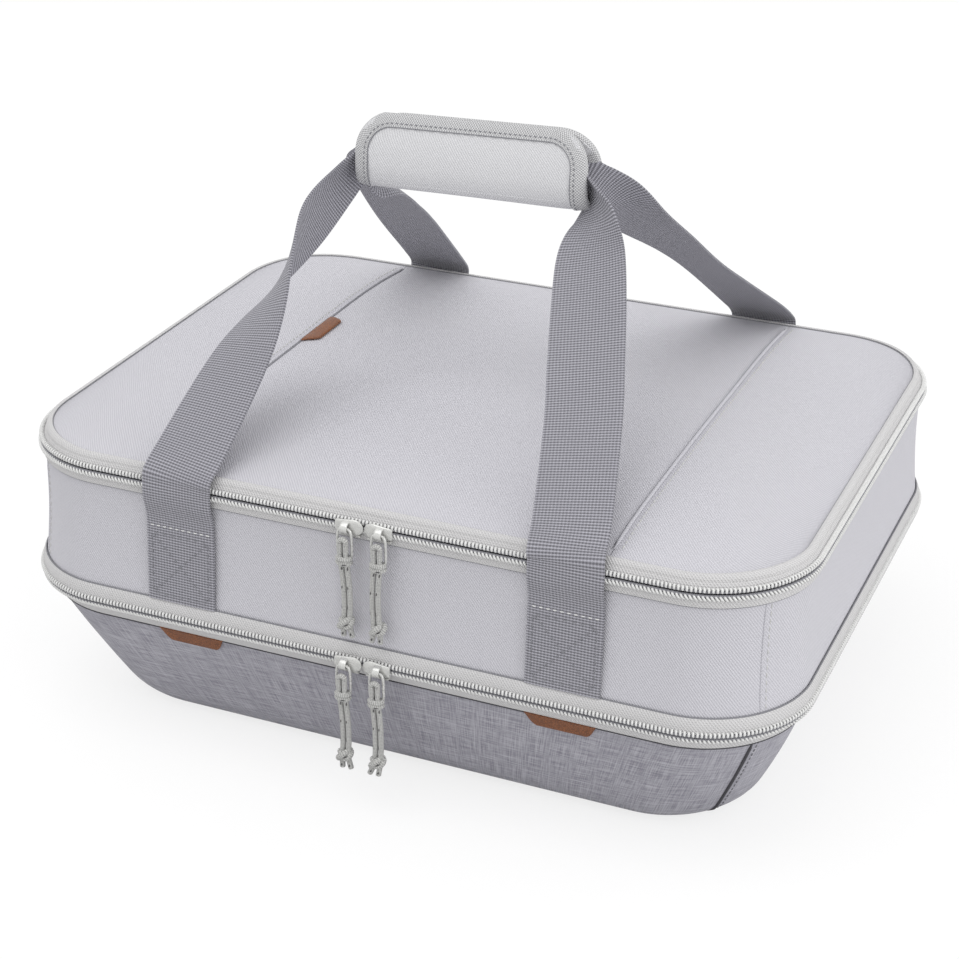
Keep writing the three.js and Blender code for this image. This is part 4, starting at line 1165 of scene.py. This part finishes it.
def grip_binding(face):
    """Tape folded over the edge: 7 mm on the outer face, round the edge, and 4 mm on the inner face."""
    x, h, nx, nh = grip_border(face)
    deep = np.array([7, 5.6, 4.2, 2.8, 1.6, 0.5, -0.6, -0.9, -0.6, 0.5, 1.6, 2.8, 4.2])[None] * MM
    lift = np.array([2.85, 2.7, 2.5, 2.3, 2.0, 1.7, 1.0, 0, -1.0, -1.6, -1.8, -2.0, -2.1])[None] * MM
    skin = np.array([0.5, 0.5, 0.5, 0.5, 0.5, 0.5, 0.6, 0.7, 0.6, 0.5, 0.5, 0.5, 0.5])[None] * MM
    flat_x, flat_h = x - nx * deep, np.maximum(h - nh * deep, 0)
    over = folded(flat_x, flat_h, lift + skin * np.sign(lift + 1e-9), face)
    under = folded(flat_x, flat_h, lift * 0.8, face)
    points = np.concatenate([over, under[:, ::-1]], 1)
    run = np.append(0, np.cumsum(np.hypot(*np.diff(np.stack([deep[0], lift[0]]), axis=1))))
    along = np.linspace(0, 0.24, len(x))
    return net(points, np.concatenate([run, run[::-1], run[:1]]), along, True, False, True)


def grip_fold():
    """Cloth round the fold, from 10 mm up the front half to 10 mm up the flap, just proud of the pads."""
    h = np.linspace(10, 0, 12)[None] * MM
    x = GRIP_HALF * np.sin(np.linspace(-1, 1, 61) * 1.5)[:, None]
    lift = 2.65 * MM - 1.5 * MM * (abs(x) / GRIP_HALF) ** 12 + 0 * h
    front, flap = folded(x, h, lift, -1), folded(x, h, lift, 1)
    return quilt(np.concatenate([front, flap[:, ::-1]], 1), 0.8 * MM)


def inside_border(face, deep, lift):
    """Line on the folded cloth, a distance in from its border."""
    x, h, nx, nh = (values[:, 0] for values in grip_border(face))
    return folded(x - nx * deep, h - nh * deep, lift, face)


def grip_stitches(face, deep, lift):
    """Row of stitches inside the border."""
    path = inside_border(face, deep, lift)
    above = inside_border(face, deep, lift + MM)
    return stitches(path, unit(above - path), 1.7 * MM, 1.0 * MM, 0.3 * MM)


for word, face, body in (("front", -1, "front_handle"), ("flap", 1, "grip_flap")):
    pad = piece(f"grip_{word}_wrap", grip_pad(face), grip_twill, body, [f"grip_{word}_pad"])
    piece(f"grip_{word}_edge", grip_binding(face), binding, body, [f"grip_{word}_binding"])
    piece(f"grip_{word}_stitches", grip_stitches(face, STITCH_IN, 3.15 * MM), grey_thread, body)
    border = inside_border(face, SEAM_IN, 3.1 * MM)[3:-3]
    seam = tube(border, 0.35 * MM, np.array([0, 1.0, 0.2]), 6)
    piece(f"grip_{word}_seam", seam, grey_thread, body)

fold = piece("grip_fold_cloth", grip_fold(), grip_twill)
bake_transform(fold)

# %% [markdown]
# ## Closing strips
# The two halves of the grip close on hook-and-loop strips inside the top edge. They are thin fuzzy
# ribbons that face each other, so each is a small two-faced sheet, thinner at its rim.

# %% Make the closing strips
RIBBON_HALF, RIBBON_RISE, RIBBON_Z = 50 * MM, 4.5 * MM, 297 * MM
x = np.linspace(-RIBBON_HALF, RIBBON_HALF, 41)[:, None]
z = np.linspace(-RIBBON_RISE, RIBBON_RISE, 9)[None]
rim = np.minimum(1 - abs(x) / RIBBON_HALF, 1 - abs(z) / RIBBON_RISE)
for word, face, body in (("loop", -1, "front_handle"), ("hook", 1, "grip_flap")):
    height = RIBBON_Z + 2.2 * MM * x / GRIP_HALF
    middle = np.stack(np.broadcast_arrays(GRIP_X + x, face * 0.85 * MM, height + z), -1)
    ribbon = quilt(middle, (1.3 - 0.5 * np.exp(-rim / 0.05)) * MM)
    piece(f"grip_{word}_ribbon", ribbon, closing_fuzz, body, [f"grip_{word}_strip"])

# %% [markdown]
# ## Floor and light
# The photograph is a product shot: a white floor and a soft, even light. The world gives most of the
# light, a large lamp above the left shoulder shapes the folds, and a smaller one on the right fills their
# shade. The floor is lifted towards white for the camera only, so that it still carries the soft shadow.

# %% Set the stage
FLOOR_Z = -0.6 * MM
corners = [[-3, -3, FLOOR_Z], [3, -3, FLOOR_Z], [3, 3, FLOOR_Z], [-3, 3, FLOOR_Z]]
ground = bpy.data.meshes.new("floor")
ground.from_pydata(corners, [], [[0, 1, 2, 3]])
floor = bpy.data.objects.new("floor", ground)
bpy.context.collection.objects.link(floor)
floor_white, dye = finish_of("floor_white", Roughness=0.9, Base_Color=(0.66, 0.66, 0.66, 1.0))
rays = dye.node("ShaderNodeLightPath")
white = dye.node("ShaderNodeEmission", {}, {"Color": (1.0, 1.0, 1.0, 1.0), "Strength": 1.2})
lit = Dye(dye, dye.tree.nodes["Principled BSDF"].outputs[0])
seen = dye.node("ShaderNodeMixShader", {}, {0: rays * 0.64, 1: lit, 2: white})
dye.tree.links.new(seen.socket, dye.tree.nodes["Material Output"].inputs["Surface"])
ground.materials.append(floor_white)

world = bpy.data.worlds.new("studio")
bpy.context.scene.world = world
world.use_nodes = True
sky = Finish(world.node_tree)
rays = sky.node("ShaderNodeLightPath")
either = rays + rays.other("Is Glossy Ray") + rays.other("Is Transmission Ray")
direct = either.math("MINIMUM", either, 1.0)
sky.feed(world.node_tree.nodes["Background"].inputs["Strength"], direct * 0.13 + 0.87)
sky.feed(world.node_tree.nodes["Background"].inputs["Color"], (1.0, 1.0, 1.0, 1.0))


def softbox(name, place, size, power):
    """Square lamp that faces the carrier."""
    lamp = bpy.data.lights.new(name, "AREA")
    lamp.size = size
    lamp.energy = power
    holder = bpy.data.objects.new(name, lamp)
    holder.location = place
    holder.rotation_euler = (AIM - Vector(place)).to_track_quat("-Z", "Y").to_euler()
    bpy.context.collection.objects.link(holder)


softbox("key", (-0.35, -0.6, 2.1), 1.6, 12)
softbox("fill", (1.9, -0.4, 0.5), 1.2, 10)
bpy.context.scene.view_settings.view_transform = "Standard"
print("stage set")
